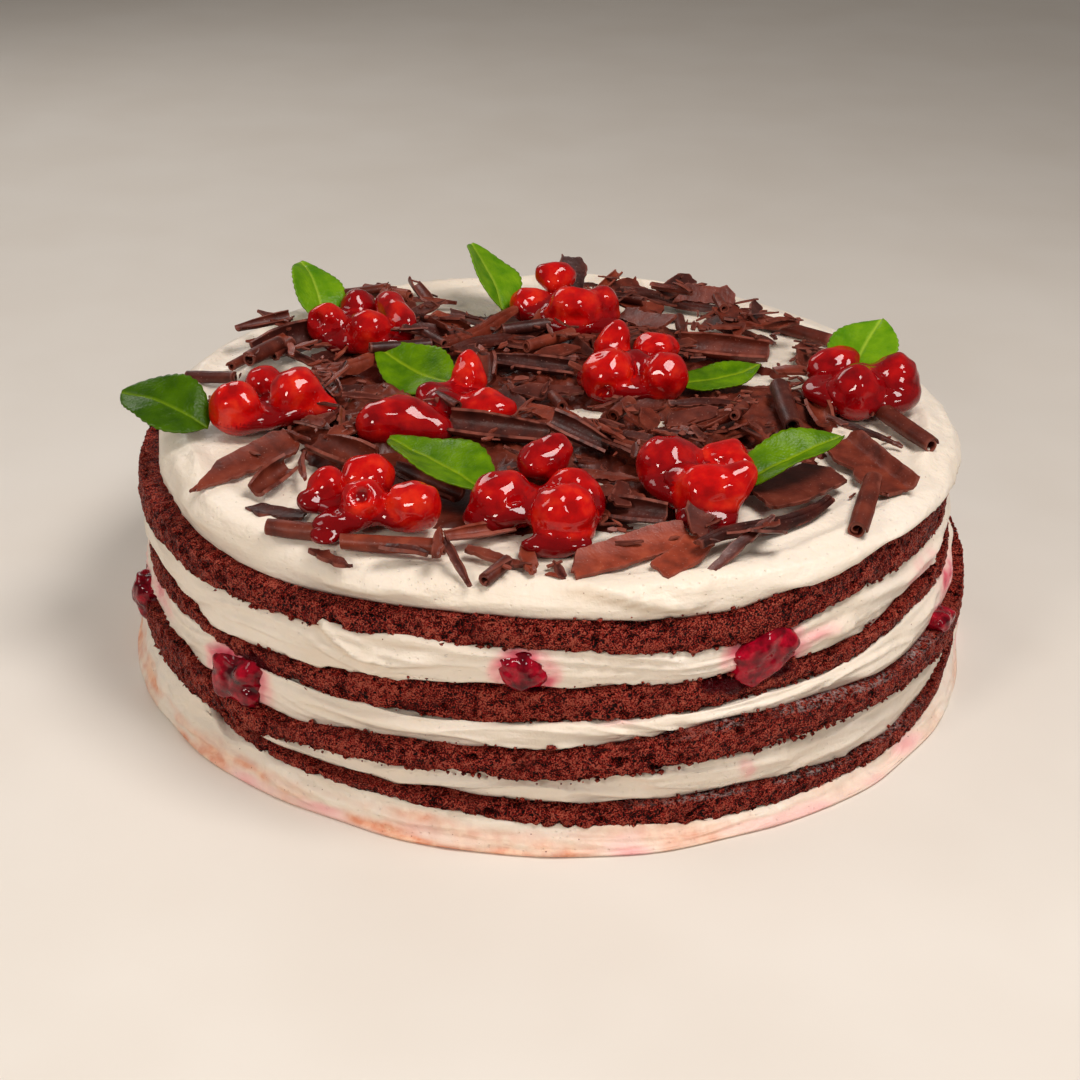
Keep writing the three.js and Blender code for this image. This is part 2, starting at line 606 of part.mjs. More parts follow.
// Bed with an uneven edge and a low lumpy top, lying on the cream.
function bedBody() {
  const edge = (azimuth) => {
    const reach = BED_REACHES.reduce((most, [middle, halfWidth, out]) => (
      Math.max(most, out * rangeWeight(azimuth, middle, halfWidth))), 0);
    return BED.radius + reach + waver(azimuth, 2, 0.9);
  };
  const lower = (azimuth, radius) => topHeight(azimuth, radius) + GAP;
  const crown = (radius) => BED.crown * THREE.MathUtils.smoothstep(BED.radius - radius, 0, BED.inner);
  const lump = (azimuth, radius) => BED_LUMPS.height * Math.sin(BED_LUMPS.turns * azimuth * RAD)
    * Math.sin(radius * BED_LUMPS.pitch + BED_LUMPS.twist * azimuth * RAD);
  const upper = (azimuth, radius) => (
    lower(azimuth, radius) + BED.thickness + crown(radius) + lump(azimuth, radius));
  const ring = (radiusAt, heightAt) => azimuths().map((azimuth) => {
    const radius = radiusAt(azimuth);
    return polar(azimuth, radius, heightAt(azimuth, radius));
  });
  const rings = [
    ring(() => BED.inner, lower),
    ring(edge, lower),
    ring((azimuth) => edge(azimuth) - 1, (azimuth, radius) => lower(azimuth, radius + 1) + BED.edge),
    ring((azimuth) => edge(azimuth) - 1 - BED.bank, upper),
    ring(() => BED.inner, upper),
  ];
  return ringBody(rings, [0, 0, lower(0, 0)], [0, 0, lower(0, 0) + BED.thickness + BED.crown]);
}

const TUBE = { sides: 6, from: 20 };
const CURL = { from: 200, to: 385, steps: 4, lift: 0.55 };
// Outlines in half-widths: a roll's, and a plate's with one long edge turned up.
const ROLL_OUTLINE = [[-1, -0.5], [1, -0.4], [0.8, 0.35], [0, 0.75], [-0.4, 0.15], [-0.9, 0.5]];
const PLATE_LINE = [[-1, 0], [0.5, 0], [0.96, 0.5]];

// Cross-sections of the shavings in the plane across their length, as closed outlines.
function arcSection(radius, from, to, thickness, steps) {
  const outer = [];
  const inner = [];
  for (let step = 0; step <= steps; step += 1) {
    const angle = (from + ((to - from) * step) / steps) * RAD;
    outer.push([radius * Math.cos(angle), radius * Math.sin(angle)]);
    inner.unshift([(radius - thickness) * Math.cos(angle), (radius - thickness) * Math.sin(angle)]);
  }
  return [...outer, ...inner];
}

function sectionFor(kind, width) {
  const half = width / 2;
  const thin = SHAVING_THICKNESS;
  if (kind === 'tube') {
    return arcSection(half, TUBE.from, TUBE.from + 360, half, TUBE.sides).slice(0, TUBE.sides);
  }
  if (kind === 'curl') {
    return arcSection(half, CURL.from, CURL.to, thin, CURL.steps)
      .map(([across, up]) => [across, up + half * CURL.lift]);
  }
  if (kind === 'roll') {
    return ROLL_OUTLINE.map(([across, up]) => [across * half, up * half]);
  }
  if (kind === 'plate') {
    const line = PLATE_LINE.map(([across, up]) => [across * half, up * half]);
    return [...line, ...line.map(([across, up]) => [across, up + thin]).reverse()];
  }
  return [[-half, -thin / 2], [half, -thin / 2], [half, thin / 2], [-half, thin / 2]];
}

// Shape along the length: the width of a shard runs out to a point, the rest keep theirs.
const TAPER = {
  shard: [0.35, 1, 0.8, 0.2],
  strip: [1, 0.6],
  tube: [1, 0.94],
  curl: [0.9, 0.75],
  roll: [0.7, 1, 0.7],
  plate: [0.85, 1, 0.9],
};
const ROLL_SWAY = { size: 0.8, turn: 7 }; // how a roll bends from side to side

// The piece about the origin, its length along +X, before it is laid on the heap.
function shavingShape(kind, length, width) {
  const section = sectionFor(kind, width);
  const taper = TAPER[kind];
  const rings = taper.map((scale, index) => {
    const part = index / (taper.length - 1) - 0.5;
    const sway = kind === 'roll' ? ROLL_SWAY.size * Math.sin(part * ROLL_SWAY.turn) : 0;
    return section.map(([across, up]) => [part * length, across * scale + sway, up]);
  });
  const count = section.length;
  const triangles = [];
  for (let ring = 0; ring < rings.length - 1; ring += 1) {
    for (let step = 0; step < count; step += 1) {
      const [a, b] = [ring * count + step, ring * count + ((step + 1) % count)];
      triangles.push([a, b, b + count], [a, b + count, a + count]);
    }
  }
  const outline = section.map(([across, up]) => new THREE.Vector2(across, up));
  const last = (rings.length - 1) * count;
  THREE.ShapeUtils.triangulateShape(outline, []).forEach(([a, b, c]) => {
    triangles.push([a, c, b], [last + a, last + b, last + c]);
  });
  return makeGeometry(rings.flat(), triangles);
}

// Heights of the heap so far, on a square grid over the cake.
const HEAP_CELL = 1.5;
const HEAP_REACH = 120;
const SINK = 0.6; // how deep a piece settles into what it lies on
const END_FROM = 0.12; // share of the length from the middle to where each end's half begins
const END_SPAN = 0.75; // distance between the places that the ends rest on, as a share of the length

class HeapHeights {
  constructor(ground) {
    this.side = Math.ceil((2 * HEAP_REACH) / HEAP_CELL);
    this.heights = new Float32Array(this.side * this.side).fill(ground);
  }

  cell(x, y) {
    const column = Math.round((x + HEAP_REACH) / HEAP_CELL);
    const row = Math.round((y + HEAP_REACH) / HEAP_CELL);
    return row * this.side + column;
  }

  // Points spread over a piece's triangles, closely enough to meet every cell it covers.
  static samples(geometry) {
    const { position } = geometry.attributes;
    const { index } = geometry;
    const corner = (at) => new THREE.Vector3().fromBufferAttribute(position, index.getX(at));
    const points = [];
    for (let at = 0; at < index.count; at += 3) {
      const [a, b, c] = [corner(at), corner(at + 1), corner(at + 2)];
      const steps = Math.ceil(Math.max(a.distanceTo(b), b.distanceTo(c), c.distanceTo(a)) / HEAP_CELL);
      for (let i = 0; i <= steps; i += 1) {
        for (let j = 0; j <= steps - i; j += 1) {
          points.push(a.clone().multiplyScalar((steps - i - j) / steps)
            .addScaledVector(b, i / steps).addScaledVector(c, j / steps));
        }
      }
    }
    return points;
  }

  // How far a piece may drop before it touches the heap.
  clearance(points) {
    const gap = (p) => p.z - this.heights[this.cell(p.x, p.y)];
    return points.reduce((least, p) => Math.min(least, gap(p)), Infinity);
  }

  cover(points) {
    points.forEach((p) => {
      const cell = this.cell(p.x, p.y);
      this.heights[cell] = Math.max(this.heights[cell], p.z);
    });
  }

  // Highest point under one end of a piece.
  under(points) {
    return points.reduce((most, p) => Math.max(most, this.heights[this.cell(p.x, p.y)]), -Infinity);
  }
}

// Lays a piece on the heap: it slopes from what is under one half to what is under the other.
function layShaving(heights, [kind, x, y, length, width, heading, bank, stand]) {
  const shape = shavingShape(kind, length, width);
  const place = (slope) => {
    const turned = shape.clone();
    turned.rotateX(bank * RAD);
    turned.rotateY(-slope);
    turned.rotateZ(heading * RAD);
    turned.translate(x, y, 0);
    return turned;
  };
  const level = HeapHeights.samples(place(0));
  const ahead = new THREE.Vector3(Math.cos(heading * RAD), Math.sin(heading * RAD), 0);
  const middle = new THREE.Vector3(x, y, 0);
  const along = (p) => p.clone().sub(middle).dot(ahead) / length;
  const near = heights.under(level.filter((p) => along(p) < -END_FROM));
  const far = heights.under(level.filter((p) => along(p) > END_FROM));
  const body = place(Math.atan2(far - near, length * END_SPAN) + stand * RAD);
  body.translate(0, 0, -heights.clearance(HeapHeights.samples(body)) - SINK);
  heights.cover(HeapHeights.samples(body));
  return toManifold(body);
}

// ---------------------------------------------------------------- assembly

const cake = new THREE.Group();

const FINISH = {
  sponge: { roughness: 0.95 },
  cream: { roughness: 0.6 },
  cherry: { roughness: 0.12 },
  filling: { roughness: 0.15 },
  leaf: { roughness: 0.45 },
  chocolate: { roughness: 0.6 },
};

function addPiece(name, look, geometry) {
  const settings = { color: COLOURS[look], metalness: 0, ...FINISH[look] };
  const material = new THREE.MeshStandardMaterial(settings);
  const mesh = new THREE.Mesh(geometry, material);
  mesh.name = name;
  cake.add(mesh);
}

// Fillings sit in pockets of the layers they touch.
const pockets = FILLINGS.map((filling) => toManifold(fillingBody(filling, GAP)));

function pocketed(geometry) {
  return pockets.reduce((solid, pocket) => solid.subtract(pocket), toManifold(geometry));
}

addPiece('cream_foot', 'cream', footCreamBody());
sponges.forEach((sponge, index) => {
  addPiece(sponge.name, 'sponge', fromManifold(mainPiece(pocketed(spongeBody(sponge, index)))));
});
CREAMS.forEach((cream, index) => {
  addPiece(cream.name, 'cream', fromManifold(mainPiece(pocketed(creamBody(cream, index)))));
});
const topCream = toManifold(topCreamBody());
addPiece('cream_top', 'cream', fromManifold(topCream));
FILLINGS.forEach((filling) => addPiece(filling.name, 'filling', fillingBody(filling, 0)));

LEAVES.forEach((leaf) => addPiece(leaf.name, 'leaf', leafBody(leaf, 0)));

// The cherries of a cluster are pressed together and on the leaves' feet: each is cut back where a
// leaf or an earlier cherry lies.
const toppings = LEAVES.map((leaf) => toManifold(leafBody(leaf, GAP)));
CHERRIES.forEach((cherry) => {
  const whole = toManifold(cherryBody(cherry, 0));
  const cut = toppings.reduce((solid, other) => solid.subtract(other), whole);
  addPiece(cherry.name, 'cherry', fromManifold(mainPiece(cut)));
  toppings.push(toManifold(cherryBody(cherry, GAP)));
});

// The shavings are one heap: the bed with the pieces that show fused on, clear of all else.
const bed = bedBody();
const heights = new HeapHeights(TOP_CREAM.height + GAP);
heights.cover(HeapHeights.samples(bed));
const heap = SHAVINGS.reduce(
  (solid, shaving) => solid.add(layShaving(heights, shaving)),
  toManifold(bed),
);
const cleared = toppings.reduce((solid, topping) => solid.subtract(topping), heap);
const lifted = topCream.translate([0, 0, GAP]);
addPiece('chocolate_shavings', 'chocolate', fromManifold(mainPiece(cleared.subtract(lifted))));

export default cake;
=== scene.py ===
"""Black forest layer cake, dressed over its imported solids, with camera, lights and floor.

Lengths are in millimetres until a mesh is made. The origin is the centre of the cake's underside,
+Z is up, and azimuths are in degrees counter-clockwise from +X, so that the front is at 270.
"""

import math
from itertools import product

import bpy
import numpy as np
from mathutils import Matrix, Vector


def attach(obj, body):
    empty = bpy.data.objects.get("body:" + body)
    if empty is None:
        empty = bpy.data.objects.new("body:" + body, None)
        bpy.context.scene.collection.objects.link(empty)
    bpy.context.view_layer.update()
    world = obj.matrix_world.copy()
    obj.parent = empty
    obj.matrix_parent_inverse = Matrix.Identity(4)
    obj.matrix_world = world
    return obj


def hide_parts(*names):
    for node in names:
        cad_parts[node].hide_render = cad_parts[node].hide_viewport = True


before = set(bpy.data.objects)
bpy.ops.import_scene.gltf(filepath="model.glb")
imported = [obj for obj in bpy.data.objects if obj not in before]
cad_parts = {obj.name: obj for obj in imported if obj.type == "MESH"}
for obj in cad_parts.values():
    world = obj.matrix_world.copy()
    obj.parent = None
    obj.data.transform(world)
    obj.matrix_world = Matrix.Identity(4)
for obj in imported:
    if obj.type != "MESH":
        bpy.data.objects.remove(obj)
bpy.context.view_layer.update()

MM = 0.001
TAU = 2 * math.pi


# ------------------------------------------------------------------ camera, lights, world

CAMERA_AT = (-2.923, -542.747, 301.850)
PITCH, ROLL = math.radians(26.955), math.radians(1.218)
LENS, SENSOR_WIDTH = 70.1, 36
CAKE_MIDDLE = (0, 0, 50)


def place_camera():
    """Camera of the photo, as fitted to the rim of the board and the cake."""
    forward = Vector((0, math.cos(PITCH), -math.sin(PITCH)))
    side = Vector((1, 0, 0))
    above = side.cross(forward)
    right = math.cos(ROLL) * side + math.sin(ROLL) * above
    up = -math.sin(ROLL) * side + math.cos(ROLL) * above
    data = bpy.data.cameras.new("camera")
    data.sensor_width = SENSOR_WIDTH
    data.lens = LENS
    data.clip_start = 0.01
    camera = bpy.data.objects.new("camera", data)
    turn = Matrix((right, up, -forward)).transposed().to_4x4()
    camera.matrix_world = Matrix.Translation(Vector(CAMERA_AT) * MM) @ turn
    bpy.context.scene.collection.objects.link(camera)
    bpy.context.scene.camera = camera


def area_light(name, at, size, power, tint):
    """Soft lamp aimed at the middle of the cake."""
    data = bpy.data.lights.new(name, "AREA")
    data.shape = "RECTANGLE"
    data.size, data.size_y = size[0] * MM, size[1] * MM
    data.energy = power
    data.color = tint
    lamp = bpy.data.objects.new(name, data)
    lamp.location = Vector(at) * MM
    lamp.rotation_euler = (Vector(CAKE_MIDDLE) - Vector(at)).to_track_quat("-Z", "Y").to_euler()
    bpy.context.scene.collection.objects.link(lamp)


place_camera()
area_light("key", (230, -170, 630), (300, 230), 3.3, (1.0, 0.95, 0.915))
area_light("front_fill", (-340, -560, 380), (150, 150), 1.6, (1.0, 0.93, 0.85))
area_light("left_fill", (-560, -20, 480), (200, 200), 0.5, (1.0, 0.97, 0.94))
area_light("right_glint", (430, -500, 420), (110, 110), 0.6, (1.0, 0.96, 0.92))
area_light("back_rim", (-330, 560, 420), (300, 240), 0.8, (1.0, 0.97, 0.94))

world = bpy.data.worlds.new("studio")
world.use_nodes = True
background = world.node_tree.nodes["Background"]
background.inputs["Color"].default_value = (1.0, 0.925, 0.85, 1)
background.inputs["Strength"].default_value = 0.15
bpy.context.scene.world = world
bpy.context.scene.view_settings.view_transform = "Standard"


# ------------------------------------------------------------------ repeatable noise

def lattice(cell, seed):
    """Numbers from 0 to 1 that depend only on whole-numbered points."""
    x, y, z = (cell[..., axis].astype(np.int64) for axis in range(3))
    value = (x * 374761393 + y * 668265263 + z * 1440662683 + seed * 974711) & 0xFFFFFFFF
    value = ((value ^ (value >> 15)) * 2246822519) & 0xFFFFFFFF
    value = ((value ^ (value >> 13)) * 3266489917) & 0xFFFFFFFF
    return ((value ^ (value >> 16)) & 0xFFFFFFFF) / 2.0 ** 32


def noise(points, size, seed):
    """Smooth noise from -1 to 1 with features of about the given size."""
    place = points / size
    base = np.floor(place)
    part = place - base
    part = part * part * (3 - 2 * part)
    total = 0
    for corner in product((0, 1), repeat=3):
        weight = np.prod(np.where(corner, part, 1 - part), axis=-1)
        total = total + weight * lattice(base + corner, seed)
    return 2 * total - 1


def layered(points, seed, *layers):
    """Sum of noises, each with its weight and its size, from successive seeds."""
    return sum(weight * noise(points, size, seed + step) for step, (weight, size) in enumerate(layers))


def scatter(points, size, seed):
    """Distance to the nearest of scattered spots, in spacings, and that spot's own number."""
    place = points / size
    base = np.floor(place)
    best = np.full(points.shape[:-1], 9.0)
    mark = np.zeros(points.shape[:-1])
    for step in product((-1, 0, 1), repeat=3):
        cell = base + step
        spot = cell + np.stack([lattice(cell, seed + axis) for axis in range(3)], -1)
        away = np.linalg.norm(place - spot, axis=-1)
        nearer = away < best
        best = np.where(nearer, away, best)
        mark = np.where(nearer, lattice(cell, seed + 7), mark)
    return best, mark


def smoothstep(value, low, high):
    """Soft rise from 0 at `low` to 1 at `high`."""
    part = np.clip((value - low) / (high - low), 0, 1)
    return part * part * (3 - 2 * part)


# ------------------------------------------------------------------ materials

def colour(code):
    """Linear colour of an sRGB hex code."""
    parts = [int(code[at:at + 2], 16) / 255 for at in (1, 3, 5)]
    linear = [part / 12.92 if part <= 0.04045 else ((part + 0.055) / 1.055) ** 2.4 for part in parts]
    return linear + [1]


class Look:
    """A procedural material under construction."""

    def __init__(self, name, **settings):
        self.material = bpy.data.materials.new(name)
        self.material.use_nodes = True
        self.tree = self.material.node_tree
        self.shader = self.tree.nodes["Principled BSDF"]
        for key, value in settings.items():
            self.shader.inputs[key.replace("_", " ")].default_value = value
        self.place = self.add("ShaderNodeTexCoord").outputs["Object"]

    def add(self, kind, **settings):
        made = self.tree.nodes.new(kind)
        for key, value in settings.items():
            setattr(made, key, value)
        return made

    def put(self, socket, value):
        if isinstance(value, bpy.types.NodeSocket):
            self.tree.links.new(value, socket)
        else:
            socket.default_value = value

    def attribute(self, name):
        return self.add("ShaderNodeAttribute", attribute_name=name).outputs["Fac"]

    def stretched(self, scale):
        made = self.add("ShaderNodeMapping")
        self.put(made.inputs["Vector"], self.place)
        self.put(made.inputs["Scale"], scale)
        return made.outputs["Vector"]

    def noise(self, size, detail, place=None):
        made = self.add("ShaderNodeTexNoise")
        self.put(made.inputs["Vector"], place or self.place)
        self.put(made.inputs["Scale"], 1 / (size * MM))
        self.put(made.inputs["Detail"], detail)
        return made.outputs["Fac"]

    def spots(self, size):
        made = self.add("ShaderNodeTexVoronoi")
        self.put(made.inputs["Vector"], self.place)
        self.put(made.inputs["Scale"], 1 / (size * MM))
        return made.outputs["Distance"]

    def math(self, operation, first, second):
        made = self.add("ShaderNodeMath", operation=operation)
        self.put(made.inputs[0], first)
        self.put(made.inputs[1], second)
        return made.outputs[0]

    def times(self, first, second):
        return self.math("MULTIPLY", first, second)

    def ramp(self, value, stops):
        made = self.add("ShaderNodeValToRGB")
        self.put(made.inputs["Fac"], value)
        marks = made.color_ramp.elements
        while len(marks) < len(stops):
            marks.new(0.5)
        for mark, (at, code) in zip(marks, stops):
            mark.position = at
            mark.color = colour(code) if isinstance(code, str) else (code, code, code, 1)
        return made.outputs["Color"]

    def clouds(self, size, detail, stops):
        """A ramp over noise of the given size."""
        return self.ramp(self.noise(size, detail), stops)

    def mix(self, part, first, second):
        made = self.add("ShaderNodeMix", data_type="RGBA")
        self.put(made.inputs[0], part)
        self.put(made.inputs[6], colour(first) if isinstance(first, str) else first)
        self.put(made.inputs[7], colour(second) if isinstance(second, str) else second)
        return made.outputs[2]

    def bump(self, height, depth, under=None):
        """Relief of the given depth in millimetres."""
        made = self.add("ShaderNodeBump")
        self.put(made.inputs["Height"], height)
        self.put(made.inputs["Distance"], depth * MM)
        if under is not None:
            self.put(made.inputs["Normal"], under)
        return made.outputs["Normal"]

    def finish(self, base, rough=None, normal=None):
        for socket, value in (("Base Color", base), ("Roughness", rough), ("Normal", normal)):
            if value is not None:
                self.put(self.shader.inputs[socket], value)
        return self.material


def sponge_look():
    look = Look("sponge_crumb", Specular_IOR_Level=0.16)
    fine = look.noise(0.42, 4)
    # The crumb's colour holds painted light: high grains lighter, up to a pink painted highlight, and hollows
    # and pores darker, as painted shade.
    grain = look.math("ADD", look.times(look.attribute("relief"), 0.18), look.times(fine, 1.02))
    pore_shade = look.ramp(look.spots(2.1), [(0.06, 0.3), (0.22, 0.0)])
    value = look.math("SUBTRACT", grain, pore_shade)
    crumb = look.ramp(value, [(0.46, "#0a0101"), (0.53, "#4a0404"), (0.585, "#8c110b"), (0.635, "#b8241a"),
                              (0.7, "#dc6a54")])
    crust = look.mix(look.clouds(9, 2, [(0.5, 0.0), (0.72, 0.4)]), crumb, "#6e1c13")
    # Painted sheen on the upper ledges of some sponges, speckled pale pink-grey.
    speckle = look.clouds(0.9, 3, [(0.46, 0.0), (0.6, 1.0)])
    sheened = look.mix(look.times(look.attribute("ledge_sheen"), speckle), crust, "#d3b9b6")
    base = look.mix(look.attribute("juice"), sheened, "#56030c")
    normal = look.bump(fine, 3.2, look.bump(look.attribute("relief"), 1.0))
    wet = look.clouds(1.1, 2, [(0.42, 0.28), (0.58, 0.9)])
    dry = look.math("SUBTRACT", 1.0, look.times(look.attribute("juice"), 0.85))
    return look.finish(base, look.times(wet, dry), normal)


def cream_look():
    look = Look("whipped_cream", Subsurface_Weight=0.15, Subsurface_Scale=0.0008,
                Subsurface_Radius=(1.0, 0.72, 0.45), Specular_IOR_Level=0.3)
    plain = look.clouds(26, 2, [(0.3, "#e8dac8"), (0.7, "#eee2d3")])
    # Peach low on the foot of the cream: partly a smear of juice, partly a painted warm reflection from
    # below.
    peach_film_and_reflection = look.clouds(3.6, 3, [(0.36, "#f3c3a4"), (0.6, "#e08f6c")])
    peach = look.mix(look.attribute("film_and_reflection"), plain, peach_film_and_reflection)
    stain = look.attribute("stain")
    pink = look.ramp(stain, [(0.0, "#efdccc"), (0.3, "#efbdb6"), (0.6, "#e0737f"), (0.85, "#bd2a45"),
                             (1.0, "#8c0e22")])
    amount = look.ramp(stain, [(0.0, 0.0), (0.22, 1.0)])
    crumb = look.ramp(look.spots(4.2), [(0.03, 1.0), (0.06, 0.0)])
    # Painted shade in the creases under the folds.
    shaded = look.mix(look.times(look.attribute("crease_shade"), 0.6), peach, "#c4a684")
    base = look.mix(look.times(crumb, look.attribute("dirt")),
                    look.mix(amount, shaded, pink), "#7a3a30")
    pits = look.ramp(look.spots(1.9), [(0.06, 0.0), (0.16, 1.0)])
    strokes = look.noise(1.6, 3, look.stretched((0.25, 0.25, 1.0)))
    fine = look.bump(look.noise(1.1, 4), 0.16, look.bump(look.noise(4, 3), 0.4))
    normal = look.bump(pits, 0.16, look.bump(strokes, 0.3, fine))
    return look.finish(base, look.clouds(4, 2, [(0.3, 0.34), (0.7, 0.5)]), normal)


WET = {"Subsurface_Scale": 0.002, "Coat_Weight": 1.0, "Coat_Roughness": 0.02, "Specular_IOR_Level": 0.0}


def cherry_look():
    look = Look("glazed_cherry", Subsurface_Weight=0.2, Subsurface_Radius=(1.0, 0.1, 0.04), Coat_IOR=1.43,
                **WET)
    cloud = look.noise(5, 3)
    pale = look.ramp(cloud, [(0.32, "#960406"), (0.5, "#bc0a09"), (0.68, "#d42a14")])
    dark = look.ramp(cloud, [(0.32, "#6c0208"), (0.5, "#8e040a"), (0.68, "#ab0d0e")])
    flesh = look.mix(look.attribute("ripe"), pale, dark)
    base = look.mix(look.ramp(look.attribute("glaze"), [(0.05, 0.0), (0.6, 1.0)]), flesh, "#740206")
    return look.finish(base, 0.3, look.bump(look.noise(2.8, 2), 0.3, look.bump(look.noise(7, 2), 0.5)))


def filling_look():
    look = Look("cherry_filling", Subsurface_Weight=0.12, Subsurface_Radius=(1.0, 0.08, 0.08), Coat_IOR=1.36,
                **WET)
    base = look.clouds(3.4, 3, [(0.3, "#3a010a"), (0.5, "#7c0418"), (0.7, "#b60a28")])
    return look.finish(base, 0.35, look.bump(look.noise(1.5, 2), 0.45, look.bump(look.noise(3, 2), 0.6)))


def chocolate_look():
    look = Look("dark_chocolate", Specular_IOR_Level=0.26)
    cloud = look.noise(5, 4)
    dark = look.ramp(cloud, [(0.3, "#260c09"), (0.52, "#3b1611"), (0.78, "#53251c")])
    light = look.ramp(cloud, [(0.3, "#642413"), (0.52, "#86341f"), (0.78, "#a0492f")])
    # Tone differs at random between the dark and the light browns; the two lit plates take the lightest, as
    # painted light.
    plain = look.mix(look.attribute("tone"), dark, light)
    dust = look.ramp(look.spots(1.2), [(0.05, 0.55), (0.13, 0.0)])
    dusty = look.mix(dust, plain, "#b9897a")
    edge = look.mix(look.ramp(look.attribute("worn"), [(0.35, 0.0), (1.0, 0.7)]), dusty, "#8a4a3c")
    grain = look.bump(look.noise(0.8, 3), 0.1)
    return look.finish(edge, look.clouds(3, 3, [(0.3, 0.34), (0.7, 0.5)]), grain)


def leaf_look(name, dark, light, vein):
    look = Look(name, Specular_IOR_Level=0.12)
    blade = look.clouds(5, 3, [(0.3, dark), (0.72, light)])
    base = look.mix(look.ramp(look.attribute("vein"), [(0.1, 0.0), (1.0, 0.6)]), blade, vein)
    cells = look.bump(look.spots(0.8), 0.1)
    return look.finish(base, look.clouds(4, 2, [(0.3, 0.28), (0.7, 0.42)]), cells)


def floor_look():
    look = Look("pale_floor", Roughness=0.55)
    return look.finish(look.clouds(60, 2, [(0.3, "#e2dad0"), (0.7, "#e6dfd6")]))


SPONGE, CREAM, CHERRY = sponge_look(), cream_look(), cherry_look()
FILLING, CHOCOLATE = filling_look(), chocolate_look()


# ------------------------------------------------------------------ meshes

def make_piece(name, points, faces, material, replaces=(), values=None, body="root"):
    """Smooth mesh with a value at each point for every named layer, riding on a body."""
    mesh = bpy.data.meshes.new(name)
    mesh.from_pydata((np.asarray(points) * MM).tolist(), [], faces)
    mesh.polygons.foreach_set("use_smooth", np.ones(len(mesh.polygons), bool))
    for key, numbers in (values or {}).items():
        layer = mesh.attributes.new(key, "FLOAT", "POINT")
        layer.data.foreach_set("value", np.asarray(numbers, np.float32).ravel())
    mesh.materials.append(material)
    mesh.update()
    piece = bpy.data.objects.new(name, mesh)
    bpy.context.scene.collection.objects.link(piece)
    if body:
        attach(piece, body)
    if replaces:
        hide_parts(*replaces)
    return piece


def grid_normals(grid, closed):
    """Outward normals of a net of points; a closed net runs round on itself along its columns."""
    along = np.gradient(grid, axis=0)
    around = (np.roll(grid, -1, 1) - np.roll(grid, 1, 1)) if closed else np.gradient(grid, axis=1)
    normal = np.cross(around, along)
    return normal / np.maximum(np.linalg.norm(normal, axis=-1, keepdims=True), 1e-9)


def ring_faces(rows, columns):
    """Quads of a net that is closed round its columns, with a fan at either end."""
    index = np.arange(rows * columns).reshape(rows, columns)
    after = np.roll(index, -1, axis=1)
    quads = np.stack([index[:-1], after[:-1], after[1:], index[1:]], -1).reshape(-1, 4).tolist()
    low, high = rows * columns, rows * columns + 1
    fans = [[low, b, a] for a, b in zip(index[0].tolist(), after[0].tolist())]
    fans += [[high, a, b] for a, b in zip(index[-1].tolist(), after[-1].tolist())]
    return quads + fans


def ring_points(grid, low, high):
    return np.concatenate([grid.reshape(-1, 3), [low, high]])


def capped(values, end=0):
    """Values on a net, with one more for the point at either end."""
    return np.append(values, [end, end])


def make_disc(name, grid, low, high, material, replaces, values):
    """Piece from a net round the cake's axis, closed by a point on the axis at either end."""
    points = ring_points(grid, (0, 0, low), (0, 0, high))
    make_piece(name, points, ring_faces(*grid.shape[:2]), material, replaces, values)


class Pile:
    """Pieces gathered into one mesh."""

    def __init__(self):
        self.points, self.faces, self.values, self.count = [], [], {}, 0

    def add(self, points, faces, **values):
        self.faces += [[index + self.count for index in face] for face in faces]
        self.points.append(points)
        for key, numbers in values.items():
            self.values.setdefault(key, []).append(np.broadcast_to(numbers, len(points)))
        self.count += len(points)

    def make(self, name, material, slot, replaces=()):
        values = {key: np.concatenate(parts) for key, parts in self.values.items()}
        return make_piece(name, np.concatenate(self.points), self.faces, material, replaces, values)


# ------------------------------------------------------------------ layers

# Faces between the layers, from the underside of the lowest sponge up: height at the centre, and
# heights at the wall, which stand every 30 degrees round the back and every 10 round the front.
KNOTS = [0, 30, 60, 90, 120, 150, 180] + list(range(200, 341, 10))
FACES = [
    (6.0, [8, 6.5, 5.5, 6, 6, 5.5, 5, 5.4, 6.2, 7.4, 8.6, 9.2, 9, 8.2, 6.4, 5.4, 4,
           3.6, 4.1, 2.8, 2.8, 4.8]),
    (12.5, [13.5, 12.5, 12, 12.5, 12.5, 11.5, 10.4, 10.8, 11.2, 12, 12.6, 12, 12.2, 13, 11.3, 11.4, 11.4,
            11.2, 8, 8.3, 8.6, 10.6]),
    (18.5, [20, 19, 18.5, 19, 17.5, 14, 11.8, 12.2, 12.8, 13.4, 14.4, 17.9, 19.1, 20.1, 19, 21.2, 22.4,
            22.6, 23, 21.7, 21.2, 20.8]),
    (27.5, [31, 30, 29, 28, 26.5, 24, 21.5, 21.6, 23.9, 23.4, 20.4, 23.6, 26.2, 26.7, 27.5, 28.5, 32.1,
            32, 29.8, 28, 28.7, 28.4]),
    (34.5, [36.5, 36, 35.5, 34.5, 33, 31.5, 30.5, 32, 33.6, 33.6, 32.5, 32.4, 32.7, 33, 34, 34.1, 34.7,
            35.8, 35.4, 38, 39.1, 37]),
    (42.5, [41, 42, 43, 43.5, 42, 39, 36.5, 39.5, 41, 36, 38.5, 39.1, 41.8, 43.4, 43.4, 42.9, 42.2,
            42.7, 40.5, 42.9, 44.4, 42.8]),
    (52.0, [47.5, 48.5, 50, 50.5, 49.5, 47, 45.5, 47.6, 49, 48.8, 49.9, 51.2, 52.1, 53.8, 54.2, 52.3, 50.1,
            50.9, 54.8, 54.6, 53.6, 52]),
    (61.5, [58.5, 59.5, 61, 61.5, 61, 59.5, 58, 57.2, 57.4, 57.2, 56.9, 58.2, 59.9, 61.5, 61.3, 60.1, 59.3,
            61.8, 64.6, 65, 64.3, 62.6]),
]
EDGE_RADIUS = 115  # where the faces have their heights at the wall
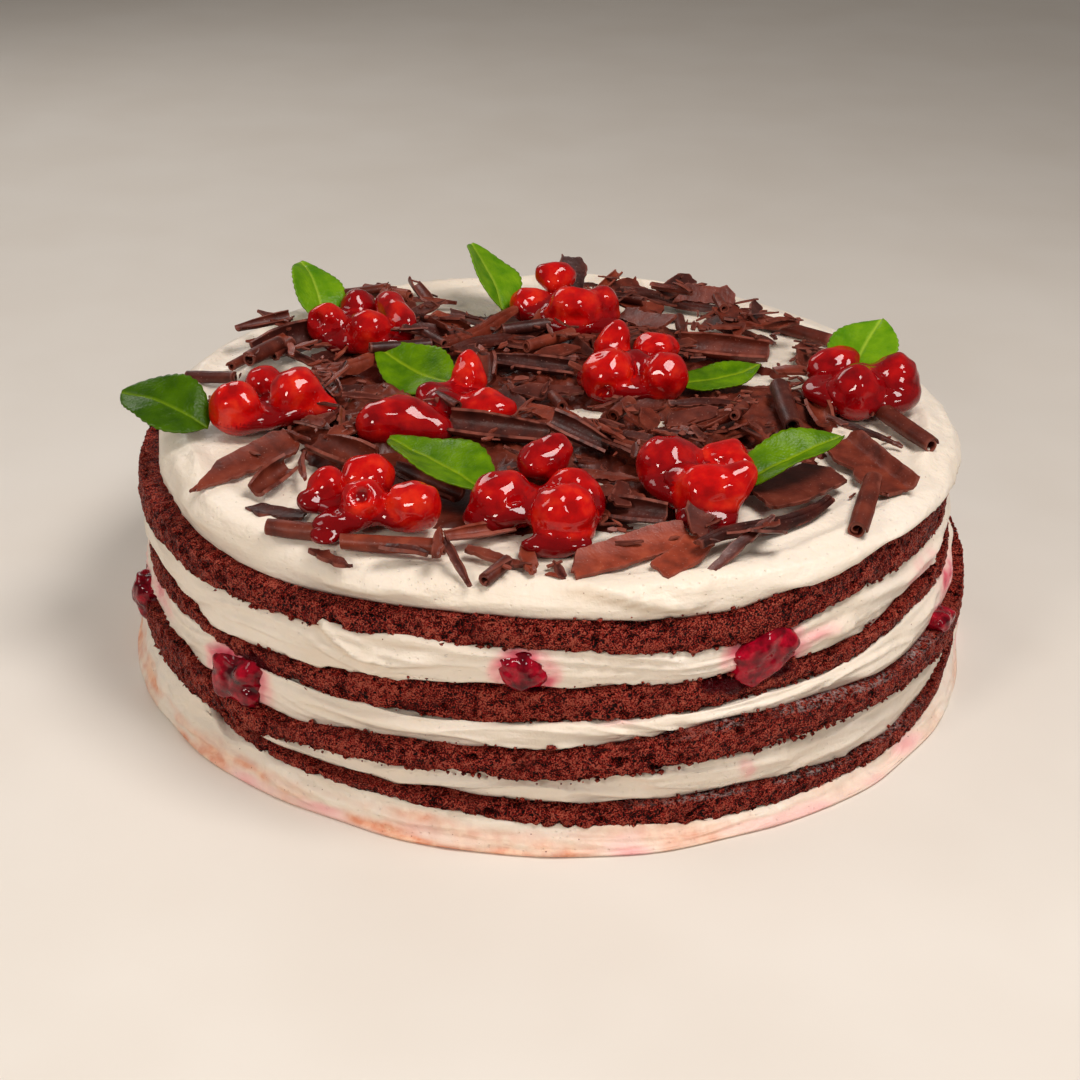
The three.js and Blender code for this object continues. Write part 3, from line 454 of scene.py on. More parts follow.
SOFTENED = math.radians(3.0)  # angle over which those heights are smoothed

# Discs from the bottom up: radius and shift along +X.
SPONGE_DISCS = [(116, 0.6), (117, 0.8), (113.2, -0.8), (113, -2)]
CREAM_DISCS = [(114.4, 0.6), (114.2, 0), (112.6, -1.6)]
TOP_DISC, FOOT_DISC = (110.8, 1.6), (119.9, 0.3)
TOP_FACE = len(FACES) - 1
TOP_HEIGHT = 68.4
# Where the lowest sponge and the cream on it stand back: middle azimuth, half-width and depth.
SET_BACK = (172, 62, 4.6)

# Stains of cherry juice: azimuth, height, half-width in degrees, half-height and strength.
STAINS = [
    (203, 29, 6, 4, 0.4), (331, 46, 5, 6, 0.42), (343, 34, 8, 4, 0.6), (306, 47.6, 3.6, 2, 0.36),
    (295.4, 16.5, 1.3, 4, 0.5), (278, 35, 3, 2, 0.25), (188, 20, 8, 8, 0.5),
    (120, 33, 9, 5, 0.55), (62, 48, 10, 5, 0.45), (30, 14, 12, 5, 0.45), (150, 8, 14, 6, 0.4),
]
HALO_REACH, HALO_STRENGTH = 1.6, 0.5  # of the red halo round a filling, in its half-sizes
# Juice that has run over the sponges, in the same form, and the painted sheen on their upper ledges:
# first and last azimuth, and how many of the sponges from the bottom up carry it.
JUICE = [(294, 41.5, 5.5, 4.5, 1.0), (229.5, 32.5, 4, 4, 0.9), (267, 44, 3.4, 1.6, 0.6),
         (300, 40.5, 3, 2.5, 0.7)]
SHEEN_SPAN = (278, 334, 2)

# Fillings: azimuth, radius and height of the middle, half-sizes along, in and up, and tilt.
FILLINGS = {
    "left": (193.5, 112.8, 20, (7.4, 6, 6.4), 60),
    "front_left": (225.8, 110.8, 25.6, (10.2, 6.5, 7.6), 6),
    "front": (267, 108.8, 47.8, (6.6, 5.8, 5.3), -10),
    "front_right": (298.3, 108.6, 45.6, (9.4, 6, 6.8), 26),
    "right": (335, 114.2, 29.4, (5.4, 4.6, 3.2), -8),
}

# Folds in the cream walls: [azimuth, height] along the crest, its height and its half-width.
WALL_FOLDS = [
    ([(226, 51.4), (233.5, 52.6), (237.5, 51.6), (240.2, 49), (243.4, 46.9), (247, 46.7), (255, 48.8)],
     1.5, 1.2),
    ([(236, 55), (240.6, 53.7), (244.2, 52.3), (249, 52.4), (256, 53.8)], 0.9, 1.1),
    ([(234, 49), (238, 46), (243, 43), (250, 42.6)], 0.7, 1.2),
    ([(268.6, 68.4), (274, 68), (278.1, 66.6), (282.1, 64.2), (286.9, 62.8), (289.6, 63.8), (291.8, 66.4)],
     1.3, 1.1),
    ([(284, 66.6), (288, 66), (291, 67)], 0.8, 1.0),
    ([(236, 64), (241, 62.8), (245.4, 62.8), (251, 64.2), (257, 63.8)], 0.9, 1.2),
    ([(296, 65), (304, 63.4), (312, 64.6), (320, 63)], 0.6, 1.2),
    ([(206, 64), (214, 62.6), (224, 63.6)], 0.7, 1.2),
    ([(303, 46.5), (307, 45.6), (310, 47.5)], 0.9, 1.2), ([(214, 29), (221, 31), (228, 30)], 0.7, 1.2),
    ([(272, 36), (284, 36.4), (292, 37.6)], 0.5, 1.0), ([(262, 20), (276, 20.6), (288, 18)], 0.5, 1.1),
    ([(316, 48), (326, 50), (336, 48)], 0.7, 1.3), ([(8, 47), (22, 50), (36, 46)], 0.9, 1.3),
    ([(60, 37), (74, 40), (92, 36)], 0.8, 1.3), ([(110, 46), (126, 42), (140, 44)], 0.9, 1.3),
    ([(158, 28), (168, 30), (180, 26)], 0.7, 1.2),
]
FOLD_RADIUS = 114
FOLD_GAIN = 1.7  # how much higher the folds are built than they are drawn
GENTLE, STEEP = 1.7, 0.6  # widths of a fold's two flanks, above and below its crest
CREASE_OFFSET = 0.9  # how far below a crest its shade lies


def degrees(columns):
    return np.arange(columns) * 360 / columns


def azimuth_of(x, y):
    return np.degrees(np.arctan2(y, x))


def polar(azimuth, radius, height):
    """Points from azimuth, radius and height."""
    a = np.radians(azimuth)
    return np.stack(np.broadcast_arrays(radius * np.cos(a), radius * np.sin(a), height), -1)


def face_edge(index, columns):
    """Height of a face at the wall, smoothed round the cake."""
    values = FACES[index][1]
    curve = np.interp(degrees(columns), KNOTS + [360], values + values[:1])
    waves = np.fft.rfft(curve)
    return np.fft.irfft(waves * np.exp(-0.5 * (np.arange(len(waves)) * SOFTENED) ** 2), columns)


def face_height(index, radius, columns):
    middle = FACES[index][0]
    return middle + (face_edge(index, columns) - middle) * radius / EDGE_RADIUS


def turn_away(azimuth, middle):
    """Turn from `middle` to an azimuth, from -180 to 180 degrees."""
    return (azimuth - middle + 180) % 360 - 180


def set_back(azimuth):
    """How far the lowest layers stand back at an azimuth."""
    middle, half, depth = SET_BACK
    return depth * smoothstep(1 - np.abs(turn_away(azimuth, middle)) / half, 0, 0.35)


def waver(azimuth, phase, size):
    """Slow and quick waves round the cake."""
    a = np.radians(azimuth)
    slow = np.sin(3 * a + phase) + 0.6 * np.sin(7 * a + 2.1 * phase)
    quick = 0.45 * np.sin(13 * a + 3.7 * phase) + 0.3 * np.sin(23 * a + 5.3 * phase)
    return size * (slow + quick)


def disc_edge(disc, azimuth, phase, size):
    """Radius of a disc's wall, with its shift and its waver."""
    radius, shift = disc
    return radius + shift * np.cos(np.radians(azimuth)) + waver(azimuth, phase, size)


def disc_grid(edge, profile, low, high=None):
    """Net of a disc from one face up to another, or to the flat top of the cake.

    Each row of the profile is [inset from the wall, part of the height, lift].
    """
    columns = len(edge)
    rows = []
    for inset, part, lift in profile:
        radius = edge - inset
        bottom = face_height(low, radius, columns)
        top = TOP_HEIGHT if high is None else face_height(high, radius, columns)
        rows.append(polar(degrees(columns), radius, bottom + (top - bottom) * part + lift))
    return np.array(rows)


def spots_at(grid, spots, fall=1.3):
    """Strength of the strongest of some soft spots on the wall."""
    azimuth = azimuth_of(grid[..., 0], grid[..., 1])
    total = np.zeros(grid.shape[:-1])
    for middle, height, half, rise, strength in spots:
        away = (turn_away(azimuth, middle) / half) ** 2 + ((grid[..., 2] - height) / rise) ** 2
        total = np.maximum(total, strength * np.exp(-fall * away))
    return total


def stain_at(grid):
    """Ragged stains and the red halos round the fillings, from 0 to 1."""
    azimuth = azimuth_of(grid[..., 0], grid[..., 1])
    total = spots_at(grid, STAINS)
    for middle, radius, height, half, _ in FILLINGS.values():
        along = turn_away(azimuth, middle) * math.radians(radius)
        away = np.hypot(along / half[0], (grid[..., 2] - height) / half[2])
        total = np.maximum(total, HALO_STRENGTH * smoothstep(HALO_REACH - away, 0, 0.7))
    ragged = 1 + 0.6 * noise(grid, 5, 91) + 0.4 * noise(grid, 2, 92)
    return np.clip(total * ragged, 0, 1)


def fold_relief(grid, folds, crest):
    """Soft ridges along drawn lines in a plane; `grid` holds the two coordinates in that plane."""
    total = np.zeros(grid.shape[:-1])
    for path, height, half in folds:
        best = np.full(total.shape, 1e9)
        for start, end in zip(path[:-1], path[1:]):
            run = np.subtract(end, start)
            part = np.clip(((grid - start) @ run) / (run @ run), 0, 1)
            away = grid - (start + part[..., None] * run)
            reach = np.where(away[..., 1] > 0, GENTLE, STEEP)
            best = np.minimum(best, np.linalg.norm(away, axis=-1) / reach)
        ends = min(np.linalg.norm(np.subtract(path[-1], path[0])) / 3, 12)
        first = np.linalg.norm(grid - path[0], axis=-1)
        last = np.linalg.norm(grid - path[-1], axis=-1)
        fade = smoothstep(np.minimum(first, last), 0, ends)
        total += crest * height * fade * np.exp(-((best / half) ** 1.3))
    return total


def crease_at(grid, folds):
    """How deep a place lies in the shade of the fold above it, from 0 to 1."""
    above = grid + np.array([0, CREASE_OFFSET])
    return np.clip(0.8 * (fold_relief(above, folds, 1) - fold_relief(grid, folds, 1)), 0, 1)


# ------------------------------------------------------------------ sponges

SPONGE_COLUMNS = 1500
WALL_ROWS = 17
CRUMBS, CRUMB_INSET = 2600, 0.9
LEDGE_INSETS = [6, 3.4, 1.8, 0.8, 0.3]
# Places where the crumb is close: azimuth, height, half-width in degrees, half-height and strength.
CLOSE_SPOTS = [(207, 47, 7, 3, 1), (230, 22, 5, 3, 1), (248, 12, 6, 3, 1), (293, 58, 6, 2.5, 1),
               (320, 29, 6, 2.5, 1)]


def crumb_relief(points, seed):
    """Depth of the open crumb: uneven grains, and hollows between them that the crumb's colour paints as
    shade.
    """
    grain, _ = scatter(points, 1.1, seed)
    lump = layered(points, seed + 1, (0.4, 2.4), (0.6, 1.2), (0.35, 0.8)) + 0.7 * (0.5 - grain)
    hollow = layered(points, seed + 4, (0.65, 3.6), (0.6, 1.6))
    return lump, -3.4 * np.clip(hollow - 0.42, 0, None)


def sponge_edge(index, azimuth):
    edge = disc_edge(SPONGE_DISCS[index], azimuth, index + 1, 0.28)
    return edge - set_back(azimuth) if index == 0 else edge


def sponge_piece(index):
    name = f"sponge_{4 - index}"
    low, high = 2 * index, 2 * index + 1
    azimuth = degrees(SPONGE_COLUMNS)
    edge = sponge_edge(index, azimuth)
    parts = np.linspace(0, 1, WALL_ROWS)
    wall = [(0.5 * abs(2 * part - 1) ** 3, part, 0) for part in parts]
    profile = [(inset, 0, -0.25) for inset in LEDGE_INSETS] + wall
    profile += [(inset, 1, 0.25) for inset in reversed(LEDGE_INSETS)]
    grid = disc_grid(edge, profile, low, high)
    seed = 100 * (index + 1)
    inset, part, _ = np.array(profile).T[..., None]
    spread = smoothstep(-inset, -6, -1) * np.ones(SPONGE_COLUMNS)
    lump, hole = crumb_relief(grid, seed)
    close = spots_at(grid, CLOSE_SPOTS, 1)
    open_part = (1 - 0.75 * close) * spread
    broad = layered(grid, seed + 60, (0.5, 5), (0.5, 14))
    normal = grid_normals(grid, True)
    moved = grid + normal * ((0.5 * lump + hole) * open_part + (0.4 * broad - 0.1) * spread)[..., None]
    ragged = layered(grid, seed + 70, (0.45, 1.8), (0.35, 5))
    side = np.sign(part - 0.5)
    rim = smoothstep(np.abs(part - 0.5), 0.25, 0.5)
    moved[..., 2] += (ragged - 0.45) * rim * spread * np.where(side == 0, 1, side)
    # This height also colours the crumb: painted shade in its hollows, painted highlight on its high grains.
    height = 0.62 * lump * (1 - 0.6 * close) + 0.8 * hole + 0.15 * broad
    low_height, high_height = np.percentile(height, (4, 97))
    relief = np.clip((height - low_height) / (high_height - low_height), 0, 1)
    # Painted sheen along the upper edge of the lowest sponges, between two azimuths.
    first, last, sheened = SHEEN_SPAN
    ends = np.minimum(azimuth - first, last - azimuth)
    ledge_sheen = smoothstep(ends, 0, 8) * rim ** 2 * (side > 0) * (index < sheened)
    ledge_sheen = 0.9 * ledge_sheen * smoothstep(noise(grid, 9, seed + 80), -0.5, 0.3)
    juice = np.clip(spots_at(grid, JUICE) * (1.2 + 0.7 * noise(grid, 3, seed + 81)), 0, 1)
    values = {"relief": capped(relief, 0.5), "ledge_sheen": capped(ledge_sheen),
              "juice": capped(smoothstep(juice, 0.25, 0.6))}
    make_disc(f"crumb_{name}", moved, FACES[low][0], FACES[high][0], SPONGE, [name],
              values)


def crumb_shape():
    """Corners and sides of a crumb: a square waist, a smaller square on top and a point below."""
    corners = [(1, 0, 0), (0, 1, 0), (-1, 0, 0), (0, -1, 0), (0.6, 0.6, 0.8), (-0.6, 0.6, 0.8),
               (-0.6, -0.6, 0.8), (0.6, -0.6, 0.8), (0, 0, -1)]
    pairs = [(corner, (corner + 1) % 4) for corner in range(4)]
    sides = [side for first, after in pairs
             for side in ((first, after, first + 4), (after, after + 4, first + 4))]
    sides += [(4, 5, 6), (4, 6, 7)] + [(after, first, 8) for first, after in pairs]
    return np.array(corners), sides


def crumbs_piece():
    """Loose crumbs and torn rags of sponge along the edges of the layers."""
    draw = np.random.default_rng(7)
    corners, sides = crumb_shape()
    edges = [face_edge(index, SPONGE_COLUMNS) for index in range(len(FACES))]
    azimuths = degrees(SPONGE_COLUMNS)
    points, faces = [], []
    for index in range(CRUMBS):
        face = int(draw.integers(len(FACES)))
        place = int(draw.integers(SPONGE_COLUMNS))
        size = 0.28 + 0.75 * draw.uniform() ** 3
        stray = draw.uniform() ** 2 * 2.2
        disc = SPONGE_DISCS[face // 2]
        azimuth = azimuths[place]
        out = disc[0] + disc[1] * math.cos(math.radians(azimuth)) - CRUMB_INSET - 0.3 * stray
        if face < 2:
            out -= float(set_back(azimuth))
        height = edges[face][place] + (stray if face % 2 else -stray) * (0.7 if face else 0)
        shape = corners * size * draw.uniform(0.6, 1.25, corners.shape)
        points.append(shape + polar(azimuth, out, height))
        faces += [[number + len(corners) * index for number in side] for side in sides]
    total = len(corners) * CRUMBS
    values = {"relief": draw.uniform(0.3, 1, total), "ledge_sheen": np.zeros(total), "juice": np.zeros(total)}
    make_piece("sponge_crumbs", np.concatenate(points), faces, SPONGE, values=values)


for layer in range(len(SPONGE_DISCS)):
    sponge_piece(layer)
crumbs_piece()


# ------------------------------------------------------------------ creams

CREAM_COLUMNS = 880
CREAM_ROWS = 22
DIRT_FROM = 66  # height above which the top cream carries crumbs
FOOT_SHOULDER, FOOT_ROWS = 116, 18  # radius where the slope of the foot ends, and the rows on it


def spatula(grid, seed):
    """Long shallow marks and folds that run round the cake."""
    azimuth = np.unwrap(np.arctan2(grid[..., 1], grid[..., 0]), axis=1)
    radius = np.hypot(grid[..., 0], grid[..., 1])
    sway = 1.1 * np.sin(4 * azimuth + seed) + 0.7 * np.sin(9 * azimuth)
    flow = np.stack([azimuth * 4.5, grid[..., 2] * 0.42 + sway, radius * 0.42], -1)
    fine = np.stack([azimuth * 8, grid[..., 2] * 1.2 + sway, radius * 1.2], -1)
    fold = (1 - np.abs(noise(flow, 1, seed + 2))) ** 5
    return 0.6 * noise(flow, 1, seed) + 0.22 * noise(fine, 1, seed + 1) + 0.75 * fold - 0.25


def dents(points, size, seed, radius, depth, share):
    """Small round pits at all but the given share of some scattered spots."""
    away, mark = scatter(points, size, seed)
    return -np.clip(radius - away, 0, None) * depth * (mark > share)


# The same folds with the azimuth as a length round the wall.
WALL_LINES = [([(azimuth * math.radians(FOLD_RADIUS), height) for azimuth, height in path], crest, half)
              for path, crest, half in WALL_FOLDS]


def wall_folds(azimuth, grid, radius):
    """Relief of the folds in a wall of cream of the given radius, and the painted shade in the creases under
    them.
    """
    round_wall = np.broadcast_to(azimuth, grid.shape[:-1]) * math.radians(radius)
    wall = np.stack([round_wall, grid[..., 2]], -1)
    return fold_relief(wall, WALL_LINES, FOLD_GAIN), crease_at(wall, WALL_LINES)


def cream_piece(index):
    name = f"cream_{3 - index}"
    azimuth = degrees(CREAM_COLUMNS)
    edge = disc_edge(CREAM_DISCS[index], azimuth, index + 5, 0.34)
    if index == 0:
        edge = edge - set_back(azimuth)
    profile = [(inset, 0, 0.1) for inset in (8, 5, 3, 1.6)]
    profile += [(1.0 - 1.5 * math.sin(math.pi * part) ** 0.7, part, 0)
                for part in np.linspace(0, 1, CREAM_ROWS)]
    profile += [(inset, 1, -0.1) for inset in (1.6, 3, 5, 8)]
    low, high = 2 * index + 1, 2 * index + 2
    grid = disc_grid(edge, profile, low, high)
    marks = spatula(grid, 30 + index)
    pits = dents(grid, 4.5, 40 + index, 0.26, 2.2, 0.72)
    folds, crease_shade = wall_folds(azimuth, grid, CREAM_DISCS[index][0])
    relief = 1.2 * marks + pits + folds + 0.3 * noise(grid, 9, 50 + index)
    grid = grid + grid_normals(grid, True) * relief[..., None]
    dirt = (np.abs(np.array(profile)[:, 1:2] - 0.5) > 0.3) * np.ones(CREAM_COLUMNS)
    values = {"stain": capped(stain_at(grid)), "dirt": capped(dirt), "crease_shade": capped(crease_shade)}
    make_disc(f"whipped_{name}", grid, FACES[low][0], FACES[high][0], CREAM, [name], values)


for layer in range(len(CREAM_DISCS)):
    cream_piece(layer)


# Ridges left by the spatula in the top cream: points [x, y] along the crest, its height and its
# half-width.
RIDGES = [
    ([(-101, -32), (-99, -44), (-95.4, -60), (-89, -76), (-81, -88), (-71, -98), (-59, -105)], 1.2, 1.7),
    ([(-96, -32), (-92, -52), (-86, -67), (-76, -82), (-67, -91)], 0.9, 1.6),
    ([(-52, -105.6), (-42, -108.6), (-32, -109.4), (-22, -108.4), (-14, -106)], 0.9, 1.8),
    ([(11, -106), (22, -107.6), (30, -106), (40, -103), (50, -99), (62, -93)], 1.0, 1.8),
    ([(58, -86), (72, -76), (84, -64), (93, -50)], 0.6, 2.2),
    ([(96, -40), (102, -24), (104, -8), (103, 8)], 0.7, 2.2),
    ([(96, 24), (90, 44), (78, 62), (62, 78)], 0.9, 2.2),
    ([(50, 90), (30, 100), (8, 104), (-14, 102)], 0.9, 2.0),
    ([(-32, 97), (-52, 88), (-70, 74), (-84, 56)], 0.8, 2.2),
    ([(-96, 40), (-101, 22), (-102, 4), (-101, -12)], 0.8, 2.2),
]


def top_cream_piece():
    azimuth = degrees(CREAM_COLUMNS)
    edge = disc_edge(TOP_DISC, azimuth, 9, 0.42)
    profile = [(inset, 0, 0.1) for inset in (10, 6, 3, 1.2)]
    rim = [(0.5, 0.0), (-0.1, 0.1), (-0.42, 0.2), (-0.5, 0.3), (-0.4, 0.42), (-0.1, 0.53), (0.5, 0.65),
           (1.2, 0.76), (2.2, 0.86), (3.6, 0.94), (5.2, 0.98)]
    profile += [(inset, part, 0) for inset, part in rim]
    profile += [(inset, 1, 0) for inset in np.arange(6.5, 36, 0.95)]
    profile += [(inset, 1, 0) for inset in (42, 48, 56, 68, 84, 98)]
    grid = disc_grid(edge, profile, TOP_FACE)
    inset, part, _ = np.array(profile).T[..., None]
    reach = np.hypot(grid[..., 0], grid[..., 1])
    rings = np.sin(reach * 0.62 + 1.3 * np.sin(2 * np.radians(azimuth)))
    grid[..., 2] += 0.4 * rings * smoothstep(reach, 84, 100) * smoothstep(part, 0.8, 1)
    grid[..., 2] += fold_relief(grid[..., :2], RIDGES, FOLD_GAIN) * smoothstep(part, 0.5, 0.95)
    marks = spatula(grid, 61)
    outer = smoothstep(-inset, -45, -20)
    folds, crease_shade = wall_folds(azimuth, grid, FOLD_RADIUS)
    outside = smoothstep(-inset, -7, -3)
    relief = (0.26 + 0.3 * (part < 1)) * marks + 0.26 * noise(grid, 11, 62) * outer + folds * outside
    relief = relief + dents(grid, 5.5, 63, 0.2, 2.4, 0.7)
    grid = grid + grid_normals(grid, True) * relief[..., None]
    dirt = 0.8 * (grid[..., 2] > DIRT_FROM)
    values = {"stain": capped(0.4 * stain_at(grid)), "dirt": capped(dirt),
              "crease_shade": capped(crease_shade * outside)}
    make_disc("whipped_cream_top", grid, FACES[TOP_FACE][0], TOP_HEIGHT, CREAM,
              ["cream_top"], values)


def foot_cream_piece():
    """Lowest cream, spread out at its foot and smeared up where the lowest sponge stands back."""
    columns = CREAM_COLUMNS
    azimuth = degrees(columns)
    a = np.radians(azimuth)
    foot = disc_edge(FOOT_DISC, azimuth, 12, 0.62)
    shoulder = FOOT_SHOULDER + 0.6 * np.cos(a)
    core = sponge_edge(0, azimuth)
    rise = smoothstep(set_back(azimuth) / SET_BACK[2], 0.45, 0.9)
    level = face_height(0, shoulder, columns)
    top = level + (face_height(2, shoulder, columns) - level) * rise
    inner = np.minimum(shoulder - 0.6, core + 0.4)
    rows = [(foot - 3, 0 * a), (foot - 0.9, 0 * a + 0.05), (foot - 0.15, 0 * a + 0.45)]
    for part in np.linspace(0, 1, FOOT_ROWS):
        out = foot + (shoulder - foot) * part ** 0.8 + 0.9 * math.sin(math.pi * part)
        rows.append((out, 1.1 + (top - 1.1) * part))
    rows.append(((shoulder + inner) / 2, top + 0.15))
    rows.append((inner, (face_height(0, inner, columns) + 0.3) * (1 - rise) + top * rise))
    rows.append((inner - 1.2, face_height(0, inner, columns) + 0.35))
    rows.append((inner - 8, face_height(0, inner - 8, columns) + 0.2))
    grid = np.array([polar(azimuth, radius, height) for radius, height in rows])
    free = smoothstep(grid[..., 2], 0.3, 2.0)
    relief = 0.9 * spatula(grid, 71) + 1.3 * noise(grid, 11, 72) + 0.4 * noise(grid, 3.2, 73)
    outer = smoothstep(np.hypot(grid[..., 0], grid[..., 1]) - inner, -0.5, 1.5)
    grid = grid + grid_normals(grid, True) * ((relief - 0.35) * free * outer)[..., None]
    grid[..., 2] = np.maximum(grid[..., 2], 0)
    streaks = np.stack([np.broadcast_to(a * 9, grid.shape[:-1]), grid[..., 2] * 0.45, 0 * grid[..., 2]], -1)
    streak = 0.5 + 0.6 * noise(streaks, 1, 74) + 0.3 * noise(grid, 3, 75)
    # Peach film, strongest low down and at the front left: partly a smear of juice, partly a painted warm
    # reflection from below.
    low = smoothstep(-grid[..., 2] - 2 * noise(streaks + 3, 1, 78), -8, -1)
    warm = np.clip(np.cos(np.radians(azimuth - 226)) * 1.4, 0.3, 1)
    film_and_reflection = np.clip(1.5 * low * streak * warm, 0, 1)
    pink = 0.8 * np.clip(noise(streaks + 7, 1, 76), 0, 1) + 0.3 * np.clip(noise(grid, 7, 77), 0, 1)
    stain = np.clip(0.5 * stain_at(grid) + 0.45 * low * pink, 0, 1)
    values = {"stain": capped(stain), "dirt": capped(np.ones(stain.shape)), "film_and_reflection": capped(film_and_reflection)}
    make_disc("whipped_cream_foot", grid, 0, FACES[0][0], CREAM, ["cream_foot"], values)


top_cream_piece()
foot_cream_piece()


# ------------------------------------------------------------------ cherries, glaze and fillings

# Middle [x, y, z], full size [along, across, up] and heading of each cherry.
CHERRIES = {
    "a1": ((-85.2, -26, 77.3), (14.6, 14, 14), 0),
    "a2": ((-70.6, -17.2, 77.7), (14.2, 13.6, 14.4), 20),
    "a3": ((-80.2, -6, 75.8), (11.6, 11, 10), 40),
    "b1": ((-66.9, 38.2, 76.9), (11.2, 10.8, 10.8), 0),
    "b2": ((-54, 31.6, 77.3), (13.2, 12.4, 12.2), 25),
    "b3": ((-47.6, 43, 78.4), (24, 9, 10.5), -62),
    "b4": ((-59.4, 53.6, 76.4), (11.8, 11, 9), 60),
    "c1": ((0.3, 72.2, 80.2), (13.4, 11, 9.4), 25),
    "c2": ((-7.8, 60.2, 75.9), (12, 11.2, 9.8), 20),
    "c3": ((5.8, 50, 78.3), (15.8, 15, 14.8), -10),
    "c4": ((14, 54, 77.6), (11.4, 11, 13), 50),
    "d1": ((-42.2, -30, 76.6), (22.5, 14, 11.4), 20),
    "d2": ((-23.4, -6, 77.6), (9.6, 9.6, 10.8), 0),
    "d3": ((-17.2, -20, 76), (14.8, 12.6, 8.6), -22),
    "d4": ((-31, -12, 75.4), (14.4, 10, 7.8), 30),
    "e1": ((15.4, 1, 77.8), (15, 14.2, 13.8), 15),
    "e2": ((29, 19.4, 77.7), (13.8, 12, 10.8), 25),
    "e3": ((30.7, -0.7, 77.8), (13.2, 13.2, 14), 0),
    "e4": ((16.2, 16.6, 78.4), (11, 10.4, 10.6), 0),
    "f1": ((80.6, 13, 76.6), (16, 12.4, 11.4), 10),
    "f2": ((83.4, -5.6, 77), (14.2, 13.4, 14), -30),
    "f3": ((95.4, 1.2, 78), (13.8, 13.2, 14.8), 0),
    "g1": ((-56.3, -73.4, 76.4), (9.4, 10, 11), 70),
    "g2": ((-46.7, -66, 76.8), (14, 12, 10.2), -15),
    "g3": ((-46.1, -81.4, 77.2), (10.8, 10.6, 11.4), 0),
    "g4": ((-33.8, -81.8, 76.5), (13.6, 12.8, 12.2), 10),
    "h1": ((-12.6, -76.4, 76.8), (17.2, 13.4, 12.2), 35),
    "h2": ((-2.8, -58.8, 78), (12.4, 11, 9.2), 25),
    "h3": ((4.6, -69.4, 76.2), (12, 11, 9.6), -15),
    "h4": ((2.6, -86.4, 76.9), (16.6, 15.2, 14.6), 0),
    "i1": ((29.3, -56.2, 77.6), (17.6, 15.2, 13.8), 25),
    "i2": ((44, -53, 76.8), (13.2, 12.6, 11.4), -30),
    "i3": ((39.6, -71.6, 77.3), (19, 14.6, 13.4), -5),
}
# Drawn-out ends, and holes left by the stones: direction [azimuth, elevation] and length.
NUBS = {"a2": (-5, -12, 5), "d1": (-12, -8, 5), "d2": (100, 74, 2.8), "d3": (200, -10, 2),
        "e4": (50, 62, 2.8), "h2": (30, 35, 2.5), "h3": (-50, -10, 2.5), "i2": (-60, 5, 3),
        "i3": (10, 20, 2.5)}
PITS = {"b1": (235, 25, 1.8), "e1": (262, -20, 1.2), "g3": (264, 38, 3)}

# Pools and drops of glaze round the clusters: middle and half-sizes.
DRIPS = {
    "a": [((-82, -24, 73.6), (10, 8, 3)), ((-73, -18, 73.6), (9, 8, 3)), ((-62, -20, 72.6), (5, 3, 2))],
    "b": [((-60, 41, 74), (10, 11, 3.6)), ((-61, 32, 73.4), (6, 4.6, 3.4)), ((-50, 34, 73.6), (8, 7, 3.2))],
    "c": [((2, 58, 74.4), (12, 10, 4)), ((8, 50, 73.8), (10, 8, 3.4))],
    "d": [((-40, -29, 74), (13, 8, 3.6)), ((-24, -17, 74.4), (11, 9, 4)), ((-30, -20, 76), (6, 6, 4))],
    "e": [((20, 6, 74.4), (13, 12, 4.2)), ((22, 6, 78), (7, 7, 4))],
    "f": [((80, 0, 74.2), (11, 9, 4)), ((91, -1, 74.2), (10, 8, 4)), ((86, 0, 78.6), (8, 5, 4))],
    "g": [((-50, -74, 73.6), (9, 8, 3)), ((-51, -85, 73), (6.6, 4.6, 3)), ((-54.4, -88.6, 71), (3.6, 4.4, 2)),
          ((-38, -81, 73.4), (8, 6, 3)), ((-60, -77.6, 74.2), (3.4, 3.4, 3))],
    "h": [((-8, -76, 74.2), (11, 9, 4)), ((4, -78, 74), (9, 10, 4)), ((1, -92.6, 71.6), (8.4, 3.6, 2.8)),
          ((-16, -80, 72.4), (6, 5, 3))],
    "i": [((36, -63, 74.4), (13, 10, 4.2)), ((37, -67, 77.6), (8, 6, 4)), ((38, -78, 72), (8, 4, 3))],
}
GLAZE_HIGH, GLAZE_LOW = 2.0, 5.6  # how far the glaze bridges, on top of a cluster and at its foot
GLAZE_SHARE = {"a": 0.6, "b": 0.8, "c": 1.0, "d": 0.8, "e": 0.8, "f": 1.5, "g": 0.6, "h": 0.8, "i": 1.1}
# Cherries darker than the rest, from 0 to 1.
RIPE = {"a3": 0.3, "b1": 0.5, "b2": 0.3, "b3": 0.6, "b4": 1, "c4": 0.6, "d1": 0.8, "d4": 1, "e3": 0.3,
        "f1": 0.9, "f2": 1, "f3": 1, "g1": 0.3, "h1": 0.5, "h2": 0.7, "i1": 0.8}
CHERRY_COLUMNS, CHERRY_ROWS = 52, 32
OWN_REACH = 1.2  # share of its own radius at which a ray from inside a cherry stops at the latest
NUB_ROOT, NUB_TIP = 3.3, 1.9  # radii of a drawn-out end where it starts and ends
NUB_REACH = 1.5
RAY_STEPS, RAY_STRIDE = 26, 0.85


def direction(azimuth, elevation):
    """Unit vector from two angles in degrees."""
    a, e = math.radians(azimuth), math.radians(elevation)
    return np.array([math.cos(e) * math.cos(a), math.cos(e) * math.sin(a), math.sin(e)])


